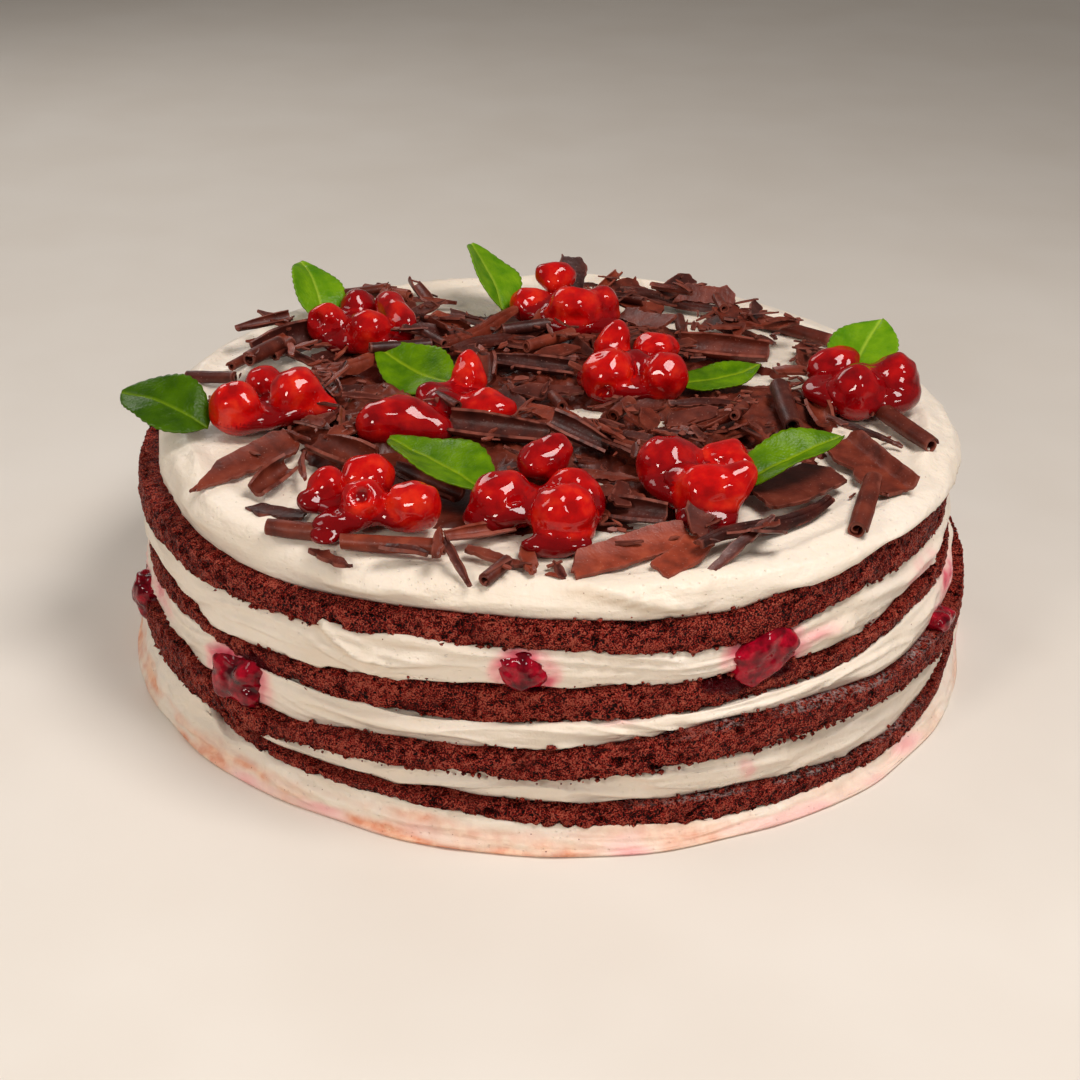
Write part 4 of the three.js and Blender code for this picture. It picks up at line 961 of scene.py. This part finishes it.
def ball_distance(points, at, half, heading):
    """Rough distance to a squeezed ball, negative inside it."""
    a = math.radians(heading)
    x, y, z = np.moveaxis(points - np.array(at), -1, 0)
    local = np.stack([x * math.cos(a) + y * math.sin(a), y * math.cos(a) - x * math.sin(a), z], -1)
    half = np.array(half)
    near = np.linalg.norm(local / half, axis=-1)
    slope = np.linalg.norm(local / half ** 2, axis=-1)
    return near * (near - 1) / np.maximum(slope, 1e-6)


def blended(first, second, reach):
    """The nearer of two distances, with a soft join of the given reach."""
    part = np.clip(0.5 + 0.5 * (second - first) / reach, 0, 1)
    return second * (1 - part) + first * part - reach * part * (1 - part)


def cherry_distance(points, key):
    """Rough distance to a bare cherry with its drawn-out end."""
    at, size, heading = CHERRIES[key]
    half = np.array(size) / 2
    near = ball_distance(points, at, half, heading)
    if key in NUBS:
        *way, length = NUBS[key]
        away = direction(*way)
        root = np.array(at) + away / np.linalg.norm(away / half)
        near = blended(near, ball_distance(points, root - away, [NUB_ROOT] * 3, 0), 3)
        near = blended(near, ball_distance(points, root + away * (length - NUB_TIP), [NUB_TIP] * 3, 0), 3.4)
    return near


def hole(key):
    """Middle and radius of the hole left by a cherry's stone."""
    at, size, _ = CHERRIES[key]
    *way, length = PITS[key]
    return np.array(at) + direction(*way) * (sum(size) / 6 + 0.2), 1.1 + 0.55 * length


def cluster_distance(points, cluster):
    """Distance to a cluster's glazed surface, and to the nearest bare cherry in it."""
    bare = np.full(points.shape[:-1], 99.0)
    total = bare.copy()
    bridge = GLAZE_LOW + (GLAZE_HIGH - GLAZE_LOW) * smoothstep(points[..., 2], 72, 80)
    bridge = bridge * GLAZE_SHARE[cluster]
    for key in CHERRIES:
        if key[0] == cluster:
            near = cherry_distance(points, key)
            bare = np.minimum(bare, near)
            total = blended(total, near, bridge)
    for at, half in DRIPS[cluster]:
        total = blended(total, ball_distance(points, at, half, 0), bridge)
    total = total + 0.85 * noise(points, 6, 80) + 0.34 * noise(points, 2.6, 81)
    for key in PITS:
        if key[0] == cluster:
            at, reach = hole(key)
            total = -blended(-total, ball_distance(points, at, [reach] * 3, 0), 1.2)
    return total, bare


def ball_directions(columns, rows):
    """Directions on a net round a ball, and its two poles."""
    turn = np.arange(columns) / columns * TAU
    rise = (np.arange(1, rows) / rows - 0.5) * math.pi
    away = np.stack([np.outer(np.cos(rise), np.cos(turn)), np.outer(np.cos(rise), np.sin(turn)),
                     np.outer(np.sin(rise), np.ones(columns))], -1)
    return ring_points(away, (0, 0, -1), (0, 0, 1))


def glazed_ball(cluster, at, half, heading=0, nub=None):
    """Net over the part of a cluster's surface that faces a point inside it, and its share of glaze.

    Rays that go on into a neighbour stop short inside it, so that only this part's own face shows.
    """
    away = ball_directions(CHERRY_COLUMNS, CHERRY_ROWS)
    spin = np.array(Matrix.Rotation(math.radians(heading), 3, "Z"))
    own = 1 / np.linalg.norm(away @ spin / np.array(half), axis=-1)
    limit = own * OWN_REACH
    if nub:
        *way, length = nub
        limit = limit + (length + NUB_REACH) * np.clip(away @ direction(*way), 0, 1) ** 6
    reach = 0.3 * own
    for _ in range(RAY_STEPS):
        gap, _ = cluster_distance(np.array(at) + away * reach[:, None], cluster)
        reach = np.clip(reach - RAY_STRIDE * gap, 0.2 * own, limit)
    points = np.array(at) + away * reach[:, None]
    _, bare = cluster_distance(points, cluster)
    depth = np.maximum(bare / 3.2, (-bare - 1.3) / 1.2)
    return points, ring_faces(CHERRY_ROWS - 1, CHERRY_COLUMNS), np.clip(depth, 0, 1)


def cherry_pieces():
    for key, (at, size, heading) in CHERRIES.items():
        points, faces, glaze = glazed_ball(key[0], at, np.array(size) / 2, heading, NUBS.get(key))
        node = f"cherry_{key}"
        values = {"glaze": glaze, "ripe": np.full(len(points), RIPE.get(key, 0.0))}
        make_piece(f"glazed_{node}", points, faces, CHERRY, [node], values)
    for cluster, drops in DRIPS.items():
        pool = Pile()
        for at, half in drops:
            points, faces, glaze = glazed_ball(cluster, at, half)
            pool.add(points, faces, glaze=glaze, ripe=1)
        pool.make(f"glaze_{cluster}", CHERRY, "glazed_cherry")


FILLING_COLUMNS, FILLING_ROWS = 96, 64


def filling_piece(name, seed):
    azimuth, radius, height, half, tilt = FILLINGS[name]
    away = ball_directions(FILLING_COLUMNS, FILLING_ROWS)
    square = (np.abs(away) ** 3).sum(axis=-1) ** (-1 / 3)
    swell = square * (0.97 + layered(away, seed, (0.16, 0.8), (0.1, 0.4), (0.05, 0.2)))
    spin = Matrix.Rotation(math.radians(azimuth + 90), 3, "Z") @ Matrix.Rotation(-math.radians(tilt), 3, "Y")
    points = (away * np.array(half) * swell[:, None]) @ np.array(spin).T + polar(azimuth, radius, height)
    faces = ring_faces(FILLING_ROWS - 1, FILLING_COLUMNS)
    make_piece(f"jam_{name}", points, faces, FILLING, [f"filling_{name}"])


cherry_pieces()
for number, filling in enumerate(FILLINGS):
    filling_piece(filling, 200 + 3 * number)


# ------------------------------------------------------------------ leaves

# Dark and light colour of the blade, and colour of the veins.
FRESH = ("#3a6000", "#628600", "#90a418")
DEEP = ("#294800", "#406200", "#708c14")
# Paler greens, partly the leaves' own colour and partly painted sheen.
PALE_GREENS = ("#487a04", "#70980e", "#a6be3c")
# Foot and tip of the midrib, width, roll, fold, arch and colours.
LEAVES = [
    ((-92.3, -30.2, 72.4), (-116.7, -20.4, 78), 20.6, -17, 0.2, 2.8, DEEP),
    ((-69.1, 47.1, 72.6), (-77.8, 66.7, 85.4), 16.9, 15, 0.16, 3, PALE_GREENS),
    ((-15.8, 60.9, 72.8), (-26.6, 82.8, 86.6), 19.6, 28, 0.29, 1.5, PALE_GREENS),
    ((-28.6, 1.6, 73.8), (-51.2, 18.5, 78), 18.6, -23, 0.16, -3.2, FRESH),
    ((-15.3, -72.5, 74.8), (-42.6, -46.8, 78), 20.4, 3, 0.3, 0.8, FRESH),
    ((35.4, 6.2, 73), (58.8, 14.2, 76.2), 15.1, 4, 0.1, -1.4, FRESH),
    ((47, -62.6, 73.6), (75, -45.5, 81), 15.2, 2, 0.42, 1.2, FRESH),
    ((82.6, 6.4, 74.2), (93.4, 22.6, 87.6), 21.4, -1, 0.04, 1.4, PALE_GREENS),
]
LEAF_ROWS, LEAF_COLUMNS = 60, 25
SIDE_VEINS = 9
TEETH = 13
LEAF_HALF_THICKNESS = 0.22


def unit(vector):
    return vector / np.linalg.norm(vector)


def sheet_faces(rows, columns):
    """Closed shell of two nets of points, the lower one first."""
    index = np.arange(rows * columns).reshape(rows, columns)
    size = rows * columns
    quads = np.stack([index[:-1, :-1], index[:-1, 1:], index[1:, 1:], index[1:, :-1]], -1).reshape(-1, 4)
    rim = np.concatenate([index[0, :], index[1:, -1], index[-1, -2::-1], index[-2:0:-1, 0]])
    after = np.roll(rim, -1)
    walls = np.stack([rim, after, after + size, rim + size], -1)
    return quads[:, ::-1].tolist() + (quads + size).tolist() + walls.tolist()


def leaf_piece(number, foot, tip, width, roll, fold, arch, tones):
    foot, tip = np.array(foot), np.array(tip)
    along = unit(tip - foot)
    length = np.linalg.norm(tip - foot)
    level = unit(np.array([-along[1], along[0], 0]))
    across = np.array(Matrix.Rotation(math.radians(roll), 3, Vector(along))) @ level
    normal = unit(np.cross(along, across))
    t = np.linspace(0, 1, LEAF_ROWS)[:, None]
    c = np.linspace(-1, 1, LEAF_COLUMNS)[None, :]
    breadth = np.maximum(0.05, np.sin(math.pi * t ** 0.86) ** 0.72)
    teeth = 1 + 0.05 * (np.abs(np.sin(TEETH * math.pi * t)) - 0.5) + 0.03 * np.sin(7 * t + number)
    out = c * width * breadth * teeth / 2
    wave = 0.6 * np.sin(9 * t + 2 * c) * np.abs(c)
    phase = (t * SIDE_VEINS - np.abs(c) * breadth * 1.5) % 1
    side_vein = np.exp(-((np.minimum(phase, 1 - phase) / 0.07) ** 2)) * (1 - np.abs(c)) ** 0.35
    midrib = np.exp(-((out / 0.42) ** 2)) * np.ones_like(t)
    grid = foot + along * (t * length)[..., None] + across * out[..., None]
    quilt = 0.05 * np.sin(math.pi * phase) ** 2
    height = arch * np.sin(math.pi * t) + fold * np.abs(out) + wave
    grid = grid + normal * (height + quilt - 0.22 * midrib - 0.07 * side_vein)[..., None]
    grid = grid + normal * (0.35 * noise(grid, 6, 300 + number))[..., None]
    vein = np.clip(midrib + 0.14 * side_vein, 0, 1)
    rim = smoothstep(np.abs(c), 0.96, 1.0) * 0.3 * np.ones_like(t)
    values = np.tile(np.maximum(vein, rim).ravel(), 2)
    skin = normal * LEAF_HALF_THICKNESS
    points = np.concatenate([(grid - skin).reshape(-1, 3), (grid + skin).reshape(-1, 3)])
    material = leaf_look(f"leaf_skin_{number}", *tones)
    make_piece(f"fresh_leaf_{number}", points, sheet_faces(LEAF_ROWS, LEAF_COLUMNS), material,
               [f"leaf_{number}"], {"vein": values})


for number, row in enumerate(LEAVES, 1):
    leaf_piece(number, *row)


# ------------------------------------------------------------------ chocolate

BED_RADIUS, BED_THICKNESS = 91, 2.1
BED_CROWN, BED_INNER = 2.6, 46  # how much thicker the middle is, and how far in that takes to build up
BED_FLOOR, BED_LIP, BED_SLOPE = TOP_HEIGHT + 0.3, 0.5, 8  # the bed thins out to the lip over the slope
# Where the bed runs further out: middle azimuth, half-width and how far.
BED_REACHES = [(256, 26, 12.5), (292, 24, 10), (330, 24, 8), (352, 16, 8), (212, 24, 7), (176, 16, 8)]

# Kind, middle x and y, length, width and heading of each large shaving, as they fell; some also have
# a bank, and a stand, which is how far the piece leans up.
SHAVINGS = [
    ("shard", -80, -50, 36, 10, 49, 20), ("curl", -71, -59, 15, 6, 62),
    ("strip", -64, -52.5, 20, 2.2, -84, 60), ("shard", -69, -73, 16, 6, -23, 8),
    ("tube", -63, -85, 14, 4.6, -16), ("tube", -39, -93.6, 25, 4.4, -7),
    ("shard", -53, -96.5, 14, 4.6, -41), ("strip", -35, -98.5, 11, 3.4, -3),
    ("curl", -17.5, -87.5, 18, 3.6, 28), ("strip", -13.5, -97, 15, 2.8, -23, 20),
    ("strip", -22.5, -102.6, 15, 2, -62, 30), ("strip", -27, -99, 11, 2.6, 88),
    ("strip", -5.4, -99, 12, 4, -82), ("shard", 18.5, -93, 34, 9, 33, 24),
    ("shard", 31.5, -94, 18, 9, 52, 6), ("curl", 20.4, -76.6, 15, 6.5, -9, 10),
    ("strip", 14, -57, 18, 2.6, -11, 50), ("shard", 16.5, -65.6, 15, 5, -31, 20),
    ("curl", -15, -34.4, 27, 8, -12), ("curl", 6.5, -39, 17, 6, -20), ("shard", 3, -22, 26, 6, -34, 16),
    ("shard", -2, -4, 20, 9, 22, 22), ("tube", 1, -13.6, 12, 3, -77),
    ("shard", 25.4, -24.5, 14, 7, 81, 30), ("shard", 37, -21, 15, 8, 16, 20),
    ("roll", 53, -79, 47, 4.4, 44), ("strip", 46, -90.5, 24, 3, 47, 20),
    ("shard", 62.5, -57.6, 27, 14, 43, 5), ("plate", 82, -42.5, 31, 13, -65),
    ("tube", 78.5, -67.5, 24, 5.6, -107), ("tube", 95, -17, 27, 5, -61),
    ("tube", 63.6, -12, 27, 5.6, -87), ("curl", 73, -11, 14, 6, -84), ("roll", 38, 77, 34, 4, -20),
    ("shard", 47, 75, 18, 8, -6, 50), ("tube", 70, 58, 32, 4.4, -36), ("curl", 49, 27, 26, 8.5, -9),
    ("tube", 38, 50, 15, 3.2, -88), ("strip", 41, -12.5, 22, 2.6, 29, 40),
    ("strip", 84, -22.6, 22, 2, -24, 40), ("tube", -88, 25.4, 24, 2.8, 69),
    ("tube", -97.4, 9, 16, 3.4, -25), ("curl", -77, 27.6, 22, 10, 47),
    ("strip", -72.5, 16, 24, 2.2, -32, 50), ("roll", -57.6, 12, 24, 5.4, 38),
    ("strip", -58, -22.4, 20, 3, 23, 40), ("curl", -55, -47.6, 19, 8, -31),
    ("curl", -32.6, -62, 24, 5.4, -43), ("roll", -23.6, 39.4, 38, 5, 48),
    ("roll", -15, 34.4, 38, 4.6, 46), ("tube", -7, 19.4, 26, 2.4, 7), ("curl", -5.6, 12.4, 23, 5.6, -8),
    ("curl", -19.4, 7.6, 12, 6, -85), ("shard", -33, 48, 16, 11, -11, 12),
    ("strip", -39.5, 72, 18, 2.6, -2), ("shard", 5, 80.5, 14, 9, 74, 18, 58),
    ("shard", 27, 52, 20, 9, -47, 26), ("shard", 62, 36, 16, 8, 52, 12),
    ("strip", 70, 20, 13, 3.6, 12, 20), ("tube", -44, 20, 18, 3.2, 20),
]
SHARP_ANGLE = math.radians(38)  # edges sharper than this aren't smoothed over
PLATE_THICKNESS, SCROLL_THICKNESS = 0.95, 0.55
HEAP_CELL, HEAP_REACH = 1.5, 120  # cell and half-side of the grid of the heap's heights
SIDE = int(2 * HEAP_REACH / HEAP_CELL)
SINK = 0.6  # how deep a large piece lies in what is under it
HEAP_LIMIT = 79  # no small piece comes to lie above this height
HIDDEN_SHARE = 0.2  # small pieces that would hide more than this share of a large one stay rare

# Places where the cream shows between the shavings: x, y and half-size.
CLEARINGS = [(8, -8, 9), (46, 67, 13), (57, 20, 7), (27, -13, 6), (84, -9, 5), (-68, -66, 9), (-76, -36, 8),
             (60, -34, 7), (-30, 62, 8), (88, 40, 10), (-44, -8, 6), (20, 34, 7), (-84, 8, 5), (10, -52, 5)]


def bed_edge(azimuth):
    """Radius at which the bed of fine shavings ends."""
    reach = np.zeros_like(azimuth)
    for middle, half, out in BED_REACHES:
        near = 1 - np.abs(turn_away(azimuth, middle)) / half
        reach = np.maximum(reach, out * smoothstep(near, 0, 0.35))
    return BED_RADIUS + reach + waver(azimuth, 2, 0.9)


def bed_height(x, y):
    """Top of the bed of fine shavings; outside it, the cream."""
    radius = np.hypot(x, y)
    edge = bed_edge(azimuth_of(x, y))
    full = BED_THICKNESS + BED_CROWN * smoothstep(BED_RADIUS - radius, 0, BED_INNER)
    slope = BED_LIP + (full - BED_LIP) * np.clip((edge - 1 - radius) / BED_SLOPE, 0, 1)
    return BED_FLOOR + np.where(radius < edge, slope, 0)


class Heap:
    """Heights of the heap so far on a square grid, and where large pieces lie."""

    def __init__(self):
        line = np.arange(SIDE) * HEAP_CELL - HEAP_REACH
        self.heights = bed_height(*np.meshgrid(line, line)).ravel()
        self.covered = np.zeros(SIDE * SIDE, bool)

    def cells(self, points):
        place = np.clip(np.round((points[..., :2] + HEAP_REACH) / HEAP_CELL).astype(int), 0, SIDE - 1)
        return place[..., 1] * SIDE + place[..., 0]

    def drop(self, points, sink):
        points = points.copy()
        cells = self.cells(points)
        points[..., 2] -= (points[..., 2] - self.heights[cells]).min() + sink
        return points

    def cover(self, points, large=True):
        cells = self.cells(points).ravel()
        np.maximum.at(self.heights, cells, points[..., 2].ravel())
        if large:
            self.covered[cells] = True


heap = Heap()
# Share of the full width along each kind, and the rows and columns of its net.
TAPERS = {"shard": [1, 1], "plate": [1, 1], "strip": [0.7, 1, 0.9, 0.4], "tube": [0.94, 1, 1, 0.92],
          "curl": [0.85, 1, 0.95, 0.8], "roll": [0.6, 0.95, 1, 0.9, 0.6]}
NETS = {"shard": (40, 10), "plate": (40, 16), "strip": (30, 6), "tube": (18, 34), "curl": (28, 16),
        "roll": (44, 24)}
# Outlines of the largest plates by their number in the list: share of the half-width at parts of the
# length, on the side towards -Y and on the side towards +Y of the unturned piece.
OUTLINES = {
    0: ([(0, 0.05), (0.5, 0.6), (0.93, 0.95), (1, 0.5)],
        [(0, 0), (0.22, 0.6), (0.3, 0.9), (0.84, 1), (1, 0.6)]),
    13: ([(0, 0.9), (0.4, 1), (0.8, 0.9), (1, 0.1)],
         [(0, -0.2), (0.1, 0.85), (0.72, 1), (0.9, 0.95), (1, 0.75)]),
    14: ([(0, 0.6), (0.6, 1), (1, 0.7)], [(0, 0.9), (0.5, 0.8), (0.86, 1), (1, 0.2)]),
    20: ([(0, 0.1), (0.3, 0.9), (0.8, 0.9), (1, 0.3)], [(0, 0.6), (0.5, 1), (0.7, 0.6), (1, 0.5)]),
    27: ([(0, 0.7), (0.4, 1), (1, 0.9)], [(0, 0.6), (0.3, 0.95), (0.8, 1), (1, 0.1)]),
    55: ([(0, 1), (0.8, 0.95), (1, 0.5)], [(0, 0.9), (0.7, 1), (1, 0.9)]),
    28: ([(0, 0.6), (0.3, 0.95), (0.5, 0.6), (0.62, 1), (0.9, 0.95), (1, 0.6)],
         [(0, 0.8), (0.1, 1), (1, 0.95)]),
}
LIT_PLATES = (13, 14)  # the two that catch the light at the front, painted in the lightest tone as painted light


def section_path(kind, half, v, u, twist):
    """Middle line of a sheet's cross-section, from one long edge to the other."""
    level = 2 * v - 1
    if kind == "tube":
        angle = np.radians(20 + 640 * v + 25 * twist * u)
        radius = half * (0.98 - 0.55 * v)
        return radius * np.cos(angle), radius * np.sin(angle)
    if kind == "curl":
        angle = np.radians(202 + 178 * v * (1 + 0.18 * twist * u))
        return half * np.cos(angle), half * (np.sin(angle) + 0.5)
    if kind == "roll":
        ridges = np.abs(np.sin(3 * math.pi * v + 0.8 * u))
        return half * level * 0.9, half * (0.6 * ridges - 0.7 * level ** 2 + 0.2)
    if kind == "plate":
        return half * level * 0.96, half * (0.06 * level ** 2 + 0.55 * smoothstep(level, 0.4, 1.0) ** 2)
    if kind == "strip":
        return half * level, half * (0.3 + 0.2 * twist) * np.abs(level)
    return half * level, half * (0.1 + 0.1 * twist) * level ** 2


def broken_side(draw, run, outline):
    """Half-width of a plate along one side: straight runs between sharp corners."""
    if outline:
        at, level = zip(*outline)
    else:
        at = np.sort(np.append(draw.uniform(0.1, 0.9, 3), (0, 1)))
        level = draw.uniform(0.6, 1.0, 5)
        level[[0, -1]] = draw.uniform(-0.4, 0.95, 2)
    return np.interp(run, at, level)[:, None]


def flake(kind, length, width, seed, net, thickness, outline=(None, None)):
    """Closed shell of one shaving about the origin, its length along +X, and its wear."""
    rows, columns = net
    draw = np.random.default_rng(seed)
    u = np.linspace(-0.5, 0.5, rows)[:, None]
    v = np.linspace(0, 1, columns)[None, :]
    run = np.linspace(0, 1, rows)
    taper = np.interp(run, np.linspace(0, 1, len(TAPERS[kind])), TAPERS[kind])[:, None]
    flat = np.stack(np.broadcast_arrays(u * length, v * width, 0 * u), -1)
    jag = layered(flat, seed, (1, 1.9), (0.7, 0.8))
    side = np.where(v < 0.5, -jag[:, :1], jag[:, -1:]) * np.abs(2 * v - 1) ** 3
    spread = v
    if kind in ("shard", "plate"):
        low, high = (broken_side(draw, run, line) for line in outline)
        high = np.maximum(high, 0.14 - low)
        spread = (1 - low) / 2 + (low + high) / 2 * v
    twist = math.sin(seed * 1.7)
    y, z = section_path(kind, width / 2 * taper, spread, 2 * u, twist)
    if kind in ("shard", "strip", "plate"):
        y = y + 0.22 * side
    slant = draw.uniform(-0.5, 0.5, 2) if kind in ("shard", "strip") else (0, 0)
    x = u * length + (slant[0] * (0.5 - u) + slant[1] * (0.5 + u)) * y
    x = x + 0.4 * np.sign(u) * np.abs(2 * u) ** 6 * np.where(u < 0, jag[:1], jag[-1:])
    if kind == "tube":
        x = x + 0.07 * twist * length * v * np.abs(2 * u) ** 3
    swaying = kind in ("roll", "strip")
    sway = 0.035 * length * np.sin(5 * u + seed) if swaying else 0.012 * length * (2 * u) ** 2
    grid = np.stack(np.broadcast_arrays(x, y + (sway if kind == "roll" else 0 * u), z + 0.6 * sway), -1)
    normal = grid_normals(grid, False)
    lines = np.stack(np.broadcast_arrays(u * length * 0.09, v * width * 1.5, 0 * u), -1)
    scored = (0.05 if kind == "shard" else 0.12) * noise(lines, 1, seed + 2)
    scored = scored + 0.06 * noise(flat, 2.2, seed + 3)
    thick = thickness * (1 - 0.15 * np.abs(jag))[..., None] / 2
    upper = grid + normal * (scored[..., None] + thick)
    lower = grid + normal * (scored[..., None] * 0.5 - thick)
    worn = np.maximum(smoothstep(np.abs(2 * v - 1), 0.86, 1), smoothstep(np.abs(2 * u), 0.93, 1))
    worn = np.clip(worn * (0.7 + 0.5 * jag) + 0.25 * (scored < -0.1), 0, 1)
    return np.concatenate([lower.reshape(-1, 3), upper.reshape(-1, 3)]), np.tile(worn.ravel(), 2)


def turned(points, bank, slope, heading):
    """Points banked about +X, tipped up by the slope, then turned to the heading."""
    spin = Matrix.Rotation(math.radians(heading), 3, "Z") @ Matrix.Rotation(-slope, 3, "Y")
    spin = spin @ Matrix.Rotation(math.radians(bank), 3, "X")
    return points @ np.array(spin).T


def lay_large():
    """Large shavings laid on the heap in turn, one pile for each kind."""
    piles = {kind: Pile() for kind in TAPERS}
    draw = np.random.default_rng(21)
    for number, (kind, x, y, length, width, heading, *lean) in enumerate(SHAVINGS):
        bank, stand = (lean + [0, 0])[:2]
        thickness = SCROLL_THICKNESS if kind == "tube" else PLATE_THICKNESS
        outline = OUTLINES.get(number, (None, None))
        shape, worn = flake(kind, length, width, number * 11 + 5, NETS[kind], thickness, outline)
        level = turned(shape, bank, 0, heading) + np.array([x, y, 0])
        a = math.radians(heading)
        along = ((level[:, 0] - x) * math.cos(a) + (level[:, 1] - y) * math.sin(a)) / length
        under = heap.heights[heap.cells(level)]
        slope = math.atan2(under[along > 0.12].max() - under[along < -0.12].max(), length * 0.75)
        body = turned(shape, bank, slope + math.radians(stand), heading) + np.array([x, y, 0])
        body = heap.drop(body, SINK)
        heap.cover(body)
        # The two lit plates get the lightest tone, as painted light; the others a random tone.
        tone = 1.0 if number in LIT_PLATES else 0.75 * draw.uniform() ** 1.3
        piles[kind].add(body, sheet_faces(*NETS[kind]), worn=worn, tone=tone)
    return piles


def near_cherries(x, y):
    """Which places lie under a cherry."""
    inside = np.zeros(np.shape(x), bool)
    for at, size, _ in CHERRIES.values():
        inside |= np.hypot(x - at[0], y - at[1]) < (size[0] + size[1]) / 4
    return inside


def near_leaves(x, y):
    """Which places lie under a leaf."""
    place = np.stack([x, y], -1)
    inside = np.zeros(np.shape(x), bool)
    for foot, tip, width, *_ in LEAVES:
        run = np.subtract(tip[:2], foot[:2])
        part = np.clip((place - foot[:2]) @ run / (run @ run), 0, 1)
        inside |= np.linalg.norm(place - foot[:2] - part[..., None] * run, axis=-1) < 0.5 * width
    return inside


def in_clearing(x, y):
    """How open the heap is at a place, from 0 to 1."""
    total = np.zeros(np.shape(x))
    for cx, cy, half in CLEARINGS:
        total = np.maximum(total, np.exp(-(((x - cx) ** 2 + (y - cy) ** 2) / half ** 2) * 0.9))
    return total


# Small pieces: kinds, count, seed, least and most length and width, rows and columns of the net,
# thickness, and how often one may lie on a large piece.
SMALL = {
    "flakes": (("shard",), 105, 10, (8, 19), (4.5, 10), (18, 7), 0.75, 0.12),
    "quills": (("curl", "tube"), 30, 14, (8, 18), (2.4, 4.8), (10, 20), 0.5, 0.2),
    "slivers": (("strip", "shard"), 105, 11, (4, 12), (1.2, 2.8), (9, 3), 0.55, 0.08),
    "flecks": (("shard", "strip"), 420, 12, (1.4, 4), (0.6, 1.8), (3, 2), 0.45, 0.04),
}


def lay_small(kinds, count, seed, lengths, widths, net, thickness, over):
    """Small pieces thrown on the heap."""
    pile = Pile()
    draw = np.random.default_rng(seed)
    faces = sheet_faces(*net)
    laid = 0
    while laid < count:
        azimuth, part = draw.uniform(0, 360), math.sqrt(draw.uniform())
        length, width = draw.uniform(*lengths), draw.uniform(*widths)
        heading, bank, slope = draw.uniform(0, 360), draw.normal(0, 16), draw.normal(0, 0.1)
        keep, number = draw.uniform(), int(draw.integers(9999))
        radius = part * (bed_edge(np.array([azimuth]))[0] + 3)
        x, y = radius * math.cos(math.radians(azimuth)), radius * math.sin(math.radians(azimuth))
        cell = heap.cells(np.array([x, y, 0.0]))
        sparse = 1 - 0.95 * float(in_clearing(x, y)) - 0.75 * float(smoothstep(radius, 82, 100))
        taken = near_cherries(x, y) or near_leaves(x, y) or heap.heights[cell] > HEAP_LIMIT
        if taken or (heap.covered[cell] and keep > over) or keep > sparse:
            continue
        shape, worn = flake(kinds[number % len(kinds)], length, width, number, net, thickness)
        body = turned(shape, bank, slope, heading) + np.array([x, y, 0])
        if keep > over and heap.covered[heap.cells(body)].mean() > HIDDEN_SHARE:
            continue
        if near_leaves(body[:, 0], body[:, 1]).any():
            continue
        body = heap.drop(body, 0.3 * width + 0.2)
        if body[:, 2].max() > HEAP_LIMIT + 2:
            continue
        heap.cover(body, False)
        pile.add(body, faces, worn=worn, tone=0.8 * (number % 97 / 97) ** 1.4)
        laid += 1
    return pile


CORE_COLUMNS, CORE_ROWS = 420, 92
CORE_FLOOR = TOP_HEIGHT - 2.4


def core_piece():
    """Packed fine shavings under the pieces; it dips under the cream where the heap is open."""
    azimuth = degrees(CORE_COLUMNS)
    edge = bed_edge(azimuth) - 0.5
    radius = np.linspace(1, 0.02, CORE_ROWS)[:, None] * edge
    flat = polar(azimuth, radius, 0)
    x, y = flat[..., 0], flat[..., 1]
    grain, _ = scatter(flat, 1.9, 400)
    rough = 0.8 * noise(flat, 2.4, 401) + 1.2 * (0.45 - grain) + 0.6 * noise(flat, 10, 402)
    open_part = np.maximum(1.25 * in_clearing(x, y), smoothstep(radius, edge - 32, edge - 10))
    top = bed_height(x, y) - 0.9 + rough - 4.4 * open_part
    top = np.where(near_leaves(x, y), np.minimum(top, TOP_HEIGHT + 1.2), top)
    top = np.maximum(top, TOP_HEIGHT - 1.6)
    rim = polar(azimuth, edge, CORE_FLOOR)
    grid = np.concatenate([rim[None], np.stack([x, y, top], -1)])
    worn = capped(np.concatenate([np.zeros((1, CORE_COLUMNS)), 0.3 * (grain < 0.2)]))
    make_disc("shaving_core", grid, CORE_FLOOR, top[-1].mean(), CHOCOLATE,
              ["chocolate_shavings"], {"worn": worn, "tone": 0 * worn + 0.4})


piles = {f"{kind}s": pile for kind, pile in lay_large().items()}
for kind, row in SMALL.items():
    piles[kind] = lay_small(*row)
core_piece()
for kind, pile in piles.items():
    piece = pile.make(f"chocolate_{kind}", CHOCOLATE, "dark_chocolate", ["chocolate_shavings"])
    piece.data.set_sharp_from_angle(angle=SHARP_ANGLE)


# ------------------------------------------------------------------ floor

FLOOR_REACH = 3000
corners = [(x * FLOOR_REACH, y * FLOOR_REACH, 0) for x, y in ((-1, -1), (1, -1), (1, 1), (-1, 1))]
floor = make_piece("floor", corners, [[0, 1, 2, 3]], floor_look(), body=None)
